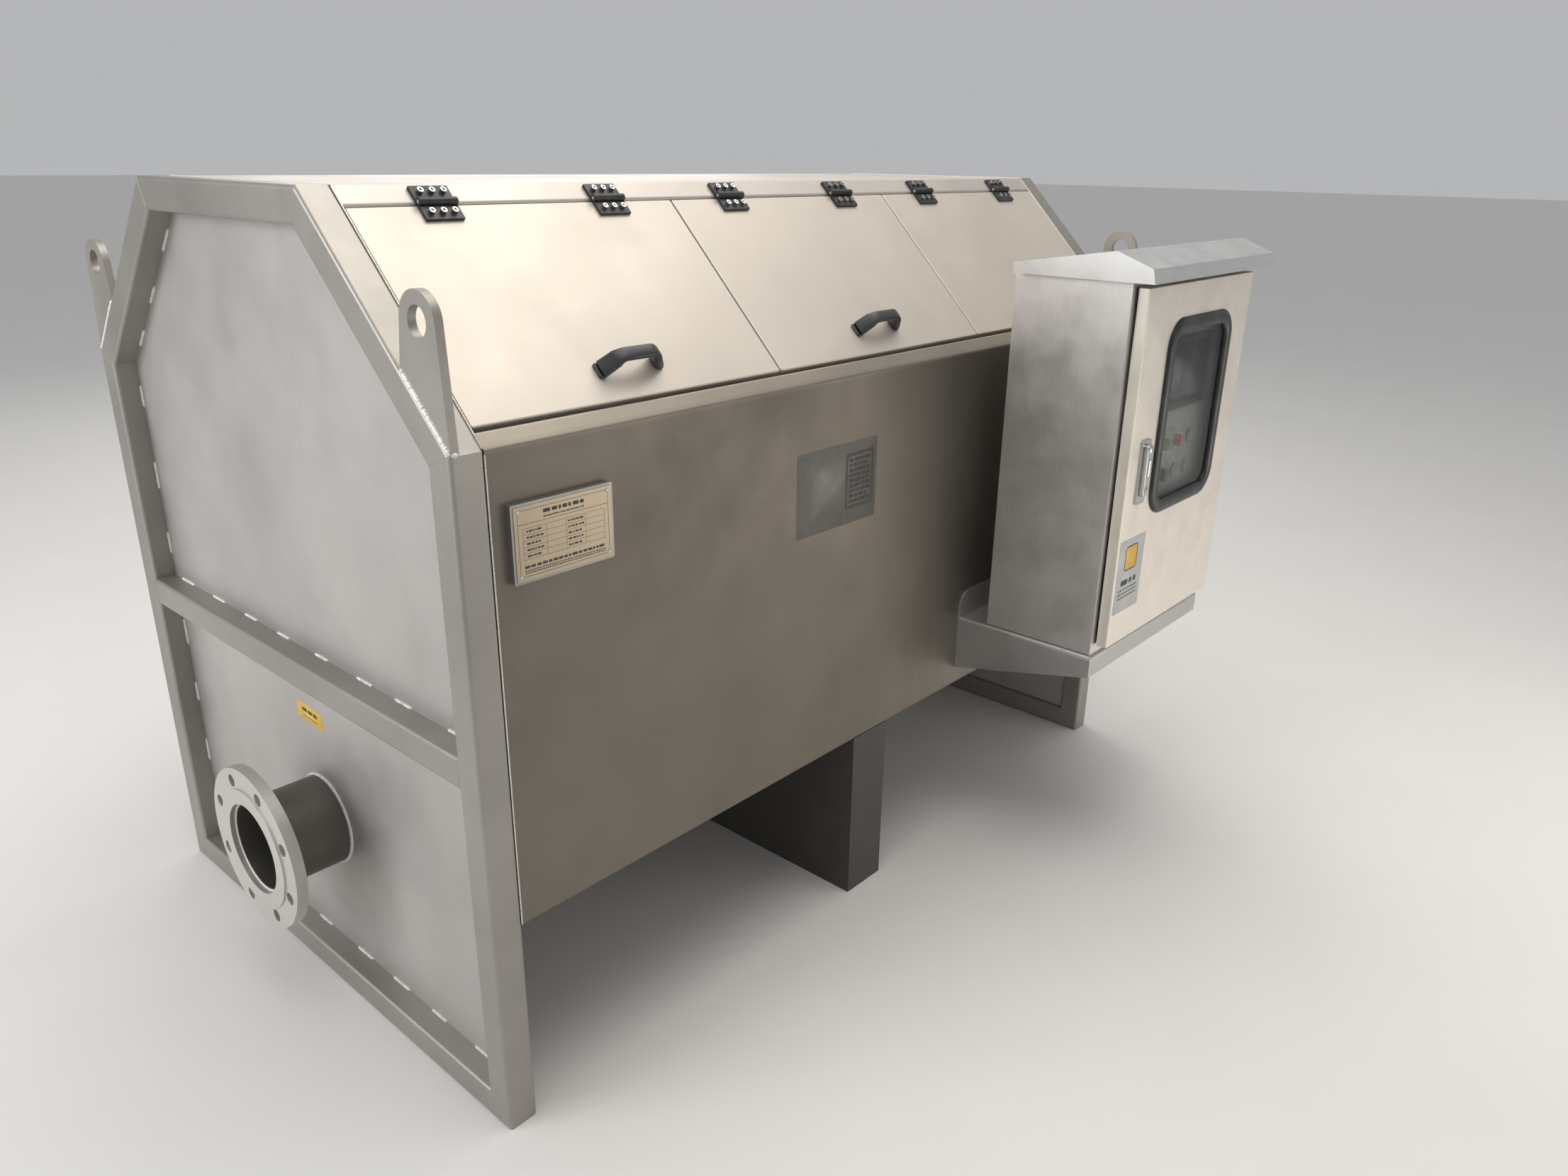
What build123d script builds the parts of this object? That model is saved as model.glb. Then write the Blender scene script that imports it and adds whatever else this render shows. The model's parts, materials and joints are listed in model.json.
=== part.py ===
from build123d import *
import math
import os

# Rotary drum filter in a sheet-steel tank with two six-sided end frames.
# Millimetres. X runs along the drum from the outlet end to the drive end, the front is at -Y,
# and the origin is on the floor under the middle of the tank.

# ---------------------------------------------------------------- housing
housing_length = 1820.0
housing_width = 1100.0
housing_height = 1350.0
shoulder_height = 1050.0      # where the upright walls end and the slopes start
top_width = 500.0             # flat part of the top
wall_bottom = 350.0           # lower edge of the long walls
belly_bottom = 200.0          # lowest level of the tank's bottom
belly_flat = 300.0            # width of that lowest level
tube_side = 50.0              # square tube of the end frames
tube_wall = 3.0
tube_corner = 6.0
rail_top = 625.0              # top of the end frames' middle rail
panel_recess = 38.0           # end panels lie this far inside the frames' outer faces
end_sheet = 4.0
shell_sheet = 3.0
sheet_bend = 5.0              # outer bend radius of the long walls
belly_fold = 20.0             # part of the bottom slope folded onto the long walls
leg_position = 871.0          # middle leg, from the outlet end
leg_width = 102.0
leg_sheet = 4.0

# ---------------------------------------------------------------- lifting lugs
lug_thickness = 12.0
lug_hole_radius = 20.0
lug_radius = 38.0
lug_inset = 47.0              # hole's distance inside the wall
lug_rise = 155.0              # hole's height over the shoulder
lug_foot = 134.0              # length of the foot along the slope
lug_setback = 3.0             # from the frame's outer face

# ---------------------------------------------------------------- covers on the front slope
cover_count = 3
cover_gap = 3.0               # beside and between covers
strip_width = 36.5            # top plate's fold down the slope
hinge_gap = 2.5               # between that fold and the covers
sill_width = 29.0             # front wall's fold up the slope
sill_gap = 6.0                # between the covers and that fold
cover_sheet = 2.0
cover_depth = 20.0
cover_corner = 3.0
seat_sheet = 3.0
gasket_thickness = 2.0
gasket_width = 14.0
gasket_clearance = 0.3
seat_bar = 24.0               # how far the seat reaches in under each cover

hinge_width = 60.0
hinge_leaf = 5.0
hinge_leaf_length = 27.0
hinge_knuckle = 6.0           # knuckle radius
hinge_axis_height = 6.5
hinge_pin = 2.5
hinge_offset = 151.0          # from a cover's middle to each hinge
hinge_play = 0.4
hinge_screw_pitch = 18.0
hinge_screw_reach = 18.0      # from the hinge axis to the screws
hinge_screw_head = 4.5
hinge_screw_height = 5.5

handle_centres = 93.5
handle_foot = 22.0
handle_width = 26.0
handle_height = 40.0
handle_thickness = 12.0
handle_from_sill = 50.0       # from a cover's lower edge to the handle's middle

# ---------------------------------------------------------------- pipework
pipe_radius = 79.5            # DN150
pipe_wall = 4.5
flange_radius = 142.5
flange_pitch_radius = 120.0
flange_hole_radius = 11.0
flange_holes = 8
flange_thickness = 22.0
raised_face_radius = 106.0
raised_face = 3.0
flange_fit = 0.2              # radial gap between pipe and slip-on flange
pipe_setback = 10.0           # pipe's end inside the flange's face
nozzle_reach = 95.0           # flange face to the end frame's outer face
outlet_height = 300.0
waste_radius = 30.15          # DN50
waste_wall = 2.9
waste_bend = 51.0             # elbow's radius to the pipe's axis
waste_bend_start = 27.0       # past the end panel's outer face, so a coupling passes the end frame
waste_reach = 220.0           # plain end behind the drum's axis
spray_radius = 16.85
spray_wall = 2.6
spray_height = 1250.0
spray_reach = 60.0            # past the drive end's outer face
union_radius = 21.0           # hose union on its end
union_length = 40.0
nozzle_count = 9
nozzle_radius = 9.0
nozzle_length = 20.0

# ---------------------------------------------------------------- drum and its drive
drum_height = 780.0           # axis over the floor
drum_radius = 400.0
track_radius = 410.0
track_width = 50.0
drum_end_clearance = 130.0    # outlet end frame's outer face to the drum
drum_drive_clearance = 150.0
disc_thickness = 8.0
hoop_depth = 14.0
hoop_count = 3
stringer_count = 12
stringer_width = 30.0
stringer_depth = 8.0
stringer_setback = 2.0        # from the hoops' inner edge
screen_thickness = 1.0
screen_gap = 0.2
hub_radius = 150.0
hub_wall = 4.0
hub_seal_gap = 3.0
hub_reach = 60.0              # how far the hub enters the drum
inlet_drop = 55.0             # inlet's axis under the drum's axis
waste_rise = 105.0            # waste pipe's axis over the drum's axis
roller_radius = 50.0
roller_width = 40.0
roller_gap = 0.3
roller_angle = 35.0           # from straight under the drum
shaft_radius = 15.0
shaft_play = 0.05
bearing_radius = 30.0
bearing_width = 36.0
bearing_base = 120.0
bearing_base_height = 12.0
bearing_height = 36.5
bearing_inset = 18.0          # end panel's inner face to the bearing
bracket_sheet = 8.0
bracket_reach = 70.0
bracket_height = 90.0
gearbox_size = (110.0, 116.0, 150.0)
motor_radius = 52.0
motor_length = 215.0
motor_flange_radius = 60.0
motor_flange = 12.0
motor_cowl = 40.0
motor_box = 80.0
motor_gap = 2.0               # end panel to the motor's flange
trough_half_top = 160.0
trough_half_bottom = 40.0
trough_top = 1010.0
trough_bottom = 855.0
trough_sheet = 3.0
trough_clearance = 70.0       # trough's ends to the drum's ends
carrier_radius = 30.0
carrier_wall = 4.0
carrier_play = 3.0

# ---------------------------------------------------------------- control cabinet
cabinet_position = 1170.0     # its left side, from the outlet end
cabinet_standoff = 63.0       # its back from the front wall
cabinet_width = 500.0
cabinet_depth = 230.0
cabinet_height = 700.0
cabinet_base = 500.0
cabinet_sheet = 2.0
cabinet_lip = 20.0
door_side_inset = 16.0
door_top_inset = 10.0
door_bottom_inset = 17.0
door_gap = 4.0
door_depth = 21.0
door_sheet = 2.0
door_corner = 3.0
door_hinge_inset = 6.0        # pin from the door's edge
door_hinge_depth = 8.0        # pin from the door's face
door_hinge_knuckle = 5.0
door_hinge_pin = 2.5
door_hinge_height = 20.0
door_hinge_barrel = 12.0      # each of the door's knuckles
door_hinge_notch = 4.0        # cut in the door's side past the knuckles
door_hinge_from_end = 110.0
window_left = 118.0           # gasket's outline, from the cabinet's left side and base
window_bottom = 257.0
window_width = 284.0
window_height = 371.0
window_corner = 55.0
gasket_ring = 28.0
gasket_proud = 8.0
gasket_inside = 6.0
gasket_web = 14.0             # gasket's outline to the door's cut-out
pane_thickness = 4.0
pane_edge = 4.0               # gasket between pane and cut-out
latch_left = 56.0
latch_bottom = 295.0
latch_width = 36.0
latch_height = 122.0
latch_plate = 4.0
lever_width = 20.0
lever_length = 80.0
lever_thickness = 8.0
lever_gap = 0.5
latch_shaft = 6.0
latch_shaft_fit = 0.3
cam_length = 45.0
cam_width = 16.0
cam_sheet = 3.0
roof_overhang = 25.0
roof_front = 50.0             # overhang over the cabinet's front
roof_sheet = 2.0
roof_back_edge = 19.0
roof_back_setback = 8.0       # from the cabinet's back, so the swinging covers pass it
roof_ridge_height = 50.0
roof_ridge_run = 198.0        # ridge's distance from the roof's back
roof_front_edge = 25.0
roof_slant = 6.0
shelf_overhang = 10.0
shelf_width = 495.0
shelf_sheet = 3.0
shelf_front = 7.0             # shelf past the cabinet's front
shelf_apron = 42.0
shelf_wall_depth = 113.0
shelf_upstand = 40.0
shelf_corner = 35.0
shelf_bend = 8.0
cabinet_bolt_radius = 4.0
cabinet_bolt_inset = 60.0
plate_inset = 25.0
plate_sheet = 3.0
plate_standoff = 12.0
control_plate_setback = 33.0
control_columns = (-50.0, 5.0, 60.0)   # from the window's middle
control_rows = (-62.0, -122.0)
button_radius = 11.0
button_fit = 0.2
button_rim = 13.0
button_proud = 12.0
knob_radius = 14.0
knob_bar = (7.0, 24.0)        # width and length of the mode switch's grip
knob_bar_proud = 24.0
lamp_radius = 14.0
screen_half_width = 95.0
screen_low, screen_high = 5.0, 145.0   # over the window's middle
screen_proud = 9.0
screen_corner = 5.0
rail_rows = (190.0, 380.0)    # device rails under the cabinet's top
rail_height = 34.0
rail_depth = 8.0
device_row = [(30, 36, 80), (76, 45, 84), (131, 45, 84), (186, 90, 78)]   # from left, width, height
device_depth = 70.0
controller_size = (160.0, 62.0, 96.0)
terminal_count = 12
terminal_size = (11.0, 44.0, 52.0)
terminal_pitch = 12.0
control_plate_bottom = 190.0
control_plate_top = 680.0
gland_radius = 12.0
gland_spacing = 45.0

# ---------------------------------------------------------------- nameplate
nameplate_position = 73.5
nameplate_bottom = 868.0
nameplate_width = 167.0
nameplate_height = 108.0
nameplate_depth = 10.0
nameplate_margin = 4.0
nameplate_sheet = 1.0

cut_margin = 1.0              # how far a cut runs past what it cuts

# ---------------------------------------------------------------- worked out from the above
x_left, x_right = -housing_length / 2, housing_length / 2
y_front, y_back = -housing_width / 2, housing_width / 2
x_inner = housing_length / 2 - tube_side
y_inner = housing_width / 2 - tube_side
slope_run = (housing_width - top_width) / 2
slope_rise = housing_height - shoulder_height
slope_length = math.hypot(slope_run, slope_rise)
slope = Plane(
    origin=(0, -top_width / 2, housing_height),
    x_dir=(1, 0, 0),
    z_dir=(0, -slope_rise, slope_run),
)
cover_top = strip_width + hinge_gap
sill_top = slope_length - sill_width
cover_foot = sill_top - sill_gap
cover_pitch = 2 * x_inner / cover_count
cover_middles = [-x_inner + cover_pitch * (i + 0.5) for i in range(cover_count)]
cover_half = (cover_pitch - cover_gap) / 2
hinge_line = strip_width + hinge_gap / 2
gasket_top = -cover_depth - gasket_clearance
seat_top = gasket_top - gasket_thickness
seat_bottom = seat_top - seat_sheet
panel_outer = housing_length / 2 - panel_recess
panel_inner = panel_outer - end_sheet

drum_left = x_left + drum_end_clearance
drum_right = x_right - drum_drive_clearance
roller_orbit = track_radius + roller_gap + roller_radius
roller_y = roller_orbit * math.sin(math.radians(roller_angle))
roller_z = drum_height - roller_orbit * math.cos(math.radians(roller_angle))
bearing_x = panel_inner - bearing_inset - bearing_width / 2

cab_x = (x_left + cabinet_position, x_left + cabinet_position + cabinet_width)
cab_y = (y_front - cabinet_standoff - cabinet_depth, y_front - cabinet_standoff)
cab_z = (cabinet_base, cabinet_base + cabinet_height)
door_x = (cab_x[0] + door_side_inset, cab_x[1] - door_side_inset)
door_z = (cab_z[0] + door_bottom_inset, cab_z[1] - door_top_inset)
door_back = cab_y[0] - door_gap
door_face = door_back - door_depth
pin_x = door_x[1] - door_hinge_inset
pin_y = door_face + door_hinge_depth
pivot_x = cab_x[0] + latch_left + latch_width / 2
pivot_z = cab_z[0] + latch_bottom + latch_height - latch_width / 2

FROM_BASE = (Align.CENTER, Align.CENTER, Align.MIN)

parts = {}


# ---------------------------------------------------------------- helpers
def block(x, y, z):
    """A box between low and high limits on each axis."""
    size = [high - low for low, high in (x, y, z)]
    middle = [(low + high) / 2 for low, high in (x, y, z)]
    return Pos(*middle) * Box(*size)


def rod(radius, x, y, z):
    """A round bar along X between two X limits."""
    return Pos(x[0], y, z) * Rot(0, 90, 0) * Cylinder(radius, x[1] - x[0], align=FROM_BASE)


def pipe(radius, wall, x, y, z):
    """A pipe along X."""
    bore = rod(radius - wall, (x[0] - cut_margin, x[1] + cut_margin), y, z)
    return rod(radius, x, y, z) - bore


def depth_rod(radius, x, y, z):
    """A round bar along Y between two Y limits."""
    return Pos(x, y[0], z) * Rot(-90, 0, 0) * Cylinder(radius, y[1] - y[0], align=FROM_BASE)


def on_slope(x, down, out):
    """A box on the front slope: X limits, limits down the slope, limits along its outward normal."""
    return slope.location * block(x, (-down[1], -down[0]), out)


def slope_rod(radius, x, down, out):
    """A round bar along X, placed on the front slope."""
    return slope.location * rod(radius, x, -down, out)


def slope_stud(radius, x, down, out):
    """A round bar that stands out of the front slope."""
    bar = Cylinder(radius, out[1] - out[0], align=FROM_BASE)
    return slope.location * Pos(x, -down, out[0]) * bar


def upright(radius, x, y, z):
    """A round bar along Z between two heights."""
    return Pos(x, y, z[0]) * Cylinder(radius, z[1] - z[0], align=FROM_BASE)


def slope_point(down, out=0.0):
    """Y and Z of a point down the front slope."""
    point = slope.from_local_coords((0, -down, out))
    return (point.Y, point.Z)


def section(inset=0.0):
    """The housing's six-sided cross-section, inset on every side."""
    half, flat = housing_width / 2, top_width / 2
    corners = [
        (-half, 0),
        (half, 0),
        (half, shoulder_height),
        (flat, housing_height),
        (-flat, housing_height),
        (-half, shoulder_height),
    ]
    outline = make_face(Polyline(*corners, close=True))
    if inset:
        outline = offset(outline, -inset, kind=Kind.INTERSECTION)
    return Plane.YZ * outline


def along_x(outline, x):
    """A YZ outline carried along X."""
    return Pos(x[0], 0, 0) * extrude(outline, x[1] - x[0])


def folded(points, thickness, x, bend=0.0):
    """A folded sheet along X. The points are its outer face; the sheet lies to their left."""
    steps = [(b[0] - a[0], b[1] - a[1]) for a, b in zip(points, points[1:])]
    normals = [(-v / math.hypot(u, v), u / math.hypot(u, v)) for u, v in steps]
    inner = [(points[0][0] + thickness * normals[0][0], points[0][1] + thickness * normals[0][1])]
    for point, n, m in zip(points[1:-1], normals, normals[1:]):
        share = thickness / (1 + n[0] * m[0] + n[1] * m[1])
        inner.append((point[0] + share * (n[0] + m[0]), point[1] + share * (n[1] + m[1])))
    inner.append((points[-1][0] + thickness * normals[-1][0], points[-1][1] + thickness * normals[-1][1]))
    folds = len(points) - 2
    outline = FilletPolyline(
        *points,
        *reversed(inner),
        radius=[0] + [bend] * folds + [0, 0] + [max(bend - thickness, 0)] * folds + [0],
        close=True,
    )
    return along_x(Plane.YZ * make_face(outline), x)


def mirrored(solid):
    """The same piece at the other end."""
    return mirror(solid, about=Plane.YZ)


def add(name, *solids):
    """Keeps the pieces of one node."""
    found = [s for solid in solids for s in solid.solids()]
    parts[name] = found[0] if len(found) == 1 else Compound(children=found)


# ---------------------------------------------------------------- end frames and tank shell
def end_frame():
    """Welded tube frame of the outlet end: six mitred tubes and a middle rail, hollow inside."""
    ring = extrude(section(), tube_side) - extrude(section(tube_side), tube_side)
    faces_x = (0, tube_side)
    rim = [e for e in ring.edges() if any(abs(e.center().X - x) < 0.01 for x in faces_x)]
    ring = fillet(rim, tube_corner)
    span = y_inner + tube_corner
    rail = block(faces_x, (-span, span), (rail_top - tube_side, rail_top))
    rail = fillet(rail.edges().filter_by(Axis.Y), tube_corner)
    hollow_x = (tube_wall, tube_side - tube_wall)
    hollow = along_x(section(tube_wall) - section(tube_side - tube_wall), hollow_x)
    hollow += block(hollow_x, (-span, span), (rail_top - tube_side + tube_wall, rail_top - tube_wall))
    return Pos(x_left, 0, 0) * (ring + rail - hollow)


def end_panel():
    """Upper and lower sheets welded inside an end frame, as one blank at the outlet end."""
    return along_x(section(tube_side), (-panel_outer, -panel_inner))


def above(level):
    wide = housing_width
    return block((x_left, x_right), (-wide, wide), (level, housing_height))


def below(level):
    wide = housing_width
    return block((x_left, x_right), (-wide, wide), (0, level))


def belly_point(run):
    """A point on the tank's bottom slope, from its upper edge at the front wall."""
    across = housing_width / 2 - belly_flat / 2
    drop = wall_bottom - belly_bottom
    share = run / math.hypot(across, drop)
    return (y_front + share * across, wall_bottom - share * drop)


def build_housing():
    frame = end_frame()
    add("left_end_frame", frame)
    add("right_end_frame", mirrored(frame))
    blank = end_panel()
    upper, lower = blank & above(rail_top), blank & below(rail_top - tube_side)
    x_cut = (-housing_length, housing_length)
    add("left_end_panels", upper, lower - rod(pipe_radius + flange_fit, x_cut, 0, outlet_height))
    upper -= rod(pipe_radius + flange_fit, x_cut, 0, drum_height - inlet_drop)
    upper -= rod(waste_radius + flange_fit, x_cut, 0, drum_height + waste_rise)
    upper -= rod(spray_radius + flange_fit, x_cut, 0, spray_height)
    lower -= rod(shaft_radius + 1, x_cut, -roller_y, roller_z)
    add("right_end_panels", mirrored(upper), mirrored(lower))

    x_shell = (-x_inner, x_inner)
    fold = belly_point(belly_fold)
    lip = slope_point(sill_top, seat_bottom)
    front = [lip, slope_point(sill_top), (y_front, shoulder_height), (y_front, wall_bottom), fold]
    add("front_wall", folded(front, shell_sheet, x_shell, sheet_bend))

    top = slope_point(strip_width)
    strip = slope_point(strip_width, seat_bottom)
    plate = [(-top[0], top[1]), (top_width / 2, housing_height), (-top_width / 2, housing_height), top, strip]
    add("top_plate", folded(plate, shell_sheet, x_shell, sheet_bend))

    back = [(-fold[0], fold[1]), (y_back, wall_bottom), (y_back, shoulder_height), (-top[0], top[1])]
    add("back_wall", folded(back, shell_sheet, x_shell, sheet_bend))

    low = belly_flat / 2
    bottom = [fold, (-low, belly_bottom), (low, belly_bottom), (-fold[0], fold[1])]
    x_tank = (-panel_inner, panel_inner)
    belly = folded(bottom, shell_sheet, x_tank)
    for side in (-1, 1):
        for end in (-1, 1):
            corner_x = sorted((end * x_inner, end * housing_length))
            corner_y = sorted((side * y_inner, side * housing_width))
            belly -= block(corner_x, corner_y, (0, housing_height))
    add("tank_bottom", belly)
    build_leg()
    build_lugs()


def build_leg():
    """Middle leg: a box of folded sheet on a foot plate, its top cut to the tank's bottom."""
    middle = x_left + leg_position
    half = leg_width / 2
    tall = wall_bottom
    leg = block((middle - half, middle + half), (y_front, y_back), (0, tall))
    inside = half - leg_sheet
    deep = housing_width / 2 - leg_sheet
    leg -= block((middle - inside, middle + inside), (-deep, deep), (leg_sheet, tall + cut_margin))
    low = belly_flat / 2
    over = [
        (y_front, wall_bottom),
        (-low, belly_bottom),
        (low, belly_bottom),
        (y_back, wall_bottom),
        (y_back, housing_height),
        (y_front, housing_height),
    ]
    cut = Plane.YZ * make_face(Polyline(*over, close=True))
    add("middle_leg", leg - along_x(cut, (x_left, x_right)))


def build_lugs():
    """Lifting lugs on the slopes of both end frames."""
    centre = (y_front + lug_inset, shoulder_height + lug_rise)
    foot = Line(slope_point(slope_length), slope_point(slope_length - lug_foot))
    eye = Pos(*centre) * CenterArc((0, 0), lug_radius, 0, 360)
    outline = make_hull([foot, eye.edge()])
    outline -= Pos(*centre) * Circle(lug_hole_radius)
    edge = x_left + lug_setback
    front = along_x(Plane.YZ * outline, (edge, edge + lug_thickness))
    back = mirror(front, about=Plane.XZ)
    add("lifting_lugs", front, back, mirrored(front), mirrored(back))


# ---------------------------------------------------------------- covers, hinges, handles
def build_cover_seat():
    """The sheet frame under the covers and the rubber it carries."""
    seat = on_slope((-x_inner, x_inner), (strip_width, sill_top), (seat_bottom, seat_top))
    rings = []
    for middle in cover_middles:
        reach = cover_half - seat_bar
        x_hole = (middle - reach, middle + reach)
        hole_down = (cover_top + seat_bar, cover_foot - seat_bar)
        seat -= on_slope(x_hole, hole_down, (seat_bottom - cut_margin, seat_top + cut_margin))
        across = (middle - cover_half, middle + cover_half)
        ring = on_slope(across, (cover_top, cover_foot), (seat_top, gasket_top))
        inside = cover_half - gasket_width
        down = (cover_top + gasket_width, cover_foot - gasket_width)
        through = (seat_top - cut_margin, gasket_top + cut_margin)
        ring -= on_slope((middle - inside, middle + inside), down, through)
        rings.append(ring)
    add("cover_seat", seat)
    add("cover_gaskets", *rings)


def cover_pan(middle):
    """One cover: a shallow folded pan, open underneath."""
    x, down = (middle - cover_half, middle + cover_half), (cover_top, cover_foot)
    pan = block(x, (-down[1], -down[0]), (-cover_depth, 0))
    pan = fillet(pan.edges().filter_by(Axis.Z), cover_corner)
    pan = fillet(pan.faces().sort_by(Axis.Z)[-1].edges(), cover_sheet)
    x_in = (x[0] + cover_sheet, x[1] - cover_sheet)
    y_in = (-down[1] + cover_sheet, -down[0] - cover_sheet)
    pan -= block(x_in, y_in, (-cover_depth - cut_margin, -cover_sheet))
    return slope.location * pan


def hinge_moving_leaf(x):
    """Leaf on the cover, with the middle knuckle."""
    half = hinge_width / 2
    inner = hinge_width / 4
    start = cover_top + 1
    leaf = on_slope((x - half, x + half), (start, start + hinge_leaf_length), (0, hinge_leaf))
    leaf += on_slope((x - inner, x + inner), (hinge_line, start), (1, hinge_leaf))
    leaf += slope_rod(hinge_knuckle, (x - inner, x + inner), hinge_line, hinge_axis_height)
    for side in (-1, 1):
        ear = sorted((x + side * inner, x + side * (half + cut_margin)))
        leaf -= slope_rod(hinge_knuckle + hinge_play, ear, hinge_line, hinge_axis_height)
    bore = (x - half, x + half)
    return leaf - slope_rod(hinge_pin + shaft_play, bore, hinge_line, hinge_axis_height)


def hinge_fixed_leaf(x):
    """Leaf on the top plate's fold, with the two outer knuckles."""
    half = hinge_width / 2
    inner = hinge_width / 4 + hinge_play
    end = strip_width - 1
    leaf = on_slope((x - half, x + half), (end - hinge_leaf_length, end), (0, hinge_leaf))
    for side in (-1, 1):
        ear = sorted((x + side * inner, x + side * half))
        leaf += on_slope(ear, (end, hinge_line), (1, hinge_leaf))
        leaf += slope_rod(hinge_knuckle, ear, hinge_line, hinge_axis_height)
    middle = (x - inner, x + inner)
    leaf -= slope_rod(hinge_knuckle + hinge_play, middle, hinge_line, hinge_axis_height)
    bore = (x - half, x + half)
    return leaf - slope_rod(hinge_pin, bore, hinge_line, hinge_axis_height)


def hinge_screws(x, side):
    """Three socket-head screws of one leaf; side is -1 above the hinge axis and 1 below it."""
    found = []
    for step in (-1, 0, 1):
        spot, down = x + step * hinge_screw_pitch, hinge_line + side * hinge_screw_reach
        top = hinge_leaf + hinge_screw_height
        head = slope_stud(hinge_screw_head, spot, down, (hinge_leaf, top))
        socket = slope.location * Pos(spot, -down, top - 3) * extrude(RegularPolygon(2.5, 6), 3)
        found.append(head - socket)
    return found


def handle(middle):
    """Bridge handle: two feet, sloping legs and a flat grip, in one moulding."""
    reach = handle_centres / 2 + handle_foot / 2
    slant = handle_height * 0.6
    grip = reach - slant
    leg = handle_foot * 0.9
    outer = [(-reach, 0), (-reach, 6), (-grip, handle_height), (grip, handle_height), (reach, 6), (reach, 0)]
    inside = reach - leg
    under = handle_height - handle_thickness
    bend = grip - leg * 0.35
    inner = [(inside, 0), (inside, 3), (bend, under), (-bend, under), (-inside, 3), (-inside, 0)]
    profile = Plane.XZ * make_face(Polyline(*outer, *inner, close=True))
    bar = Pos(0, handle_width / 2, 0) * extrude(profile, handle_width)
    bar = fillet(bar.edges().filter_by(Axis.Y).sort_by(Axis.Z)[-2:], 5)
    spot = (middle, -(cover_foot - handle_from_sill), 0)
    return slope.location * Pos(*spot) * bar


def build_covers():
    names = ("left", "middle", "right")
    fixed, pins, screws = [], [], []
    for name, middle in zip(names, cover_middles):
        hinges = [middle - hinge_offset, middle + hinge_offset]
        add(f"{name}_cover", cover_pan(middle))
        add(f"{name}_cover_handle", handle(middle))
        add(f"{name}_cover_hinge_leaves", *[hinge_moving_leaf(x) for x in hinges])
        add(f"{name}_cover_hinge_screws", *[s for x in hinges for s in hinge_screws(x, 1)])
        for x in hinges:
            fixed.append(hinge_fixed_leaf(x))
            half = hinge_width / 2
            pins.append(slope_rod(hinge_pin, (x - half, x + half), hinge_line, hinge_axis_height))
            screws += hinge_screws(x, -1)
    add("frame_hinge_leaves", *fixed)
    add("frame_hinge_screws", *screws)
    add("hinge_pins", *pins, *door_pins())


# ---------------------------------------------------------------- pipework
def slip_flange():
    """A flange with its sealing face at X = 0, facing -X."""
    through = (-cut_margin, flange_thickness + cut_margin)
    disc = rod(flange_radius, (raised_face, flange_thickness), 0, 0)
    disc += rod(raised_face_radius, (0, flange_thickness), 0, 0)
    disc -= rod(pipe_radius + flange_fit, through, 0, 0)
    for i in range(flange_holes):
        angle = math.radians(360 * (i + 0.5) / flange_holes)
        y, z = flange_pitch_radius * math.cos(angle), flange_pitch_radius * math.sin(angle)
        disc -= rod(flange_hole_radius, through, y, z)
    return disc


def build_pipework():
    face = x_left - nozzle_reach
    pipe_x = (face + pipe_setback, -panel_inner)
    add("outlet_pipe", pipe(pipe_radius, pipe_wall, pipe_x, 0, outlet_height))
    add("outlet_flange", Pos(face, 0, outlet_height) * slip_flange())

    inlet_z = drum_height - inlet_drop
    flange = mirrored(Pos(face, 0, inlet_z) * slip_flange())
    line = mirrored(pipe(pipe_radius, pipe_wall, pipe_x, 0, inlet_z))
    hub_x = (drum_right - hub_reach, panel_inner)
    add("inlet_nozzle", flange, line, pipe(hub_radius, hub_wall, hub_x, 0, drum_height))
    build_waste_pipe()
    build_trough()
    build_spray()


def build_waste_pipe():
    """From the trough through the drive end, then an elbow that turns to the back."""
    z = drum_height + waste_rise
    bend_x = panel_outer + waste_bend_start
    line = pipe(waste_radius, waste_wall, (drum_right - trough_clearance, bend_x), 0, z)
    ring = Circle(waste_radius) - Circle(waste_radius - waste_wall)
    start = Plane(origin=(bend_x, 0, z), x_dir=(0, 1, 0), z_dir=(1, 0, 0)) * ring
    line += revolve(start, axis=Axis((bend_x, waste_bend, z), (0, 0, 1)), revolution_arc=90)
    turn = Pos(bend_x + waste_bend, waste_bend, z) * Rot(-90, 0, 0)
    add("waste_pipe", line + turn * extrude(ring, waste_reach - waste_bend))


def build_trough():
    """Channel inside the drum that catches the washed-off solids, on its carrier tube."""
    x = (drum_left + trough_clearance, drum_right - trough_clearance)
    walls = [
        (-trough_half_top, trough_top),
        (-trough_half_bottom, trough_bottom),
        (trough_half_bottom, trough_bottom),
        (trough_half_top, trough_top),
    ]
    trough = folded(walls, trough_sheet, x)
    end = Plane.YZ * make_face(Polyline(*walls, close=True))
    right = along_x(end, (x[1] - trough_sheet, x[1]))
    right -= rod(waste_radius - waste_wall, x, 0, drum_height + waste_rise)
    carrier_end = [
        (-trough_half_top, trough_top),
        (-trough_half_bottom, drum_height - carrier_radius),
        (trough_half_bottom, drum_height - carrier_radius),
        (trough_half_top, trough_top),
    ]
    left_face = Plane.YZ * make_face(Polyline(*carrier_end, close=True))
    left = along_x(left_face, (x[0], x[0] + 2 * trough_sheet))
    carrier = pipe(carrier_radius, carrier_wall, (-panel_inner, x[0]), 0, drum_height)
    add("waste_trough", trough + right + left + carrier)


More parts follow.
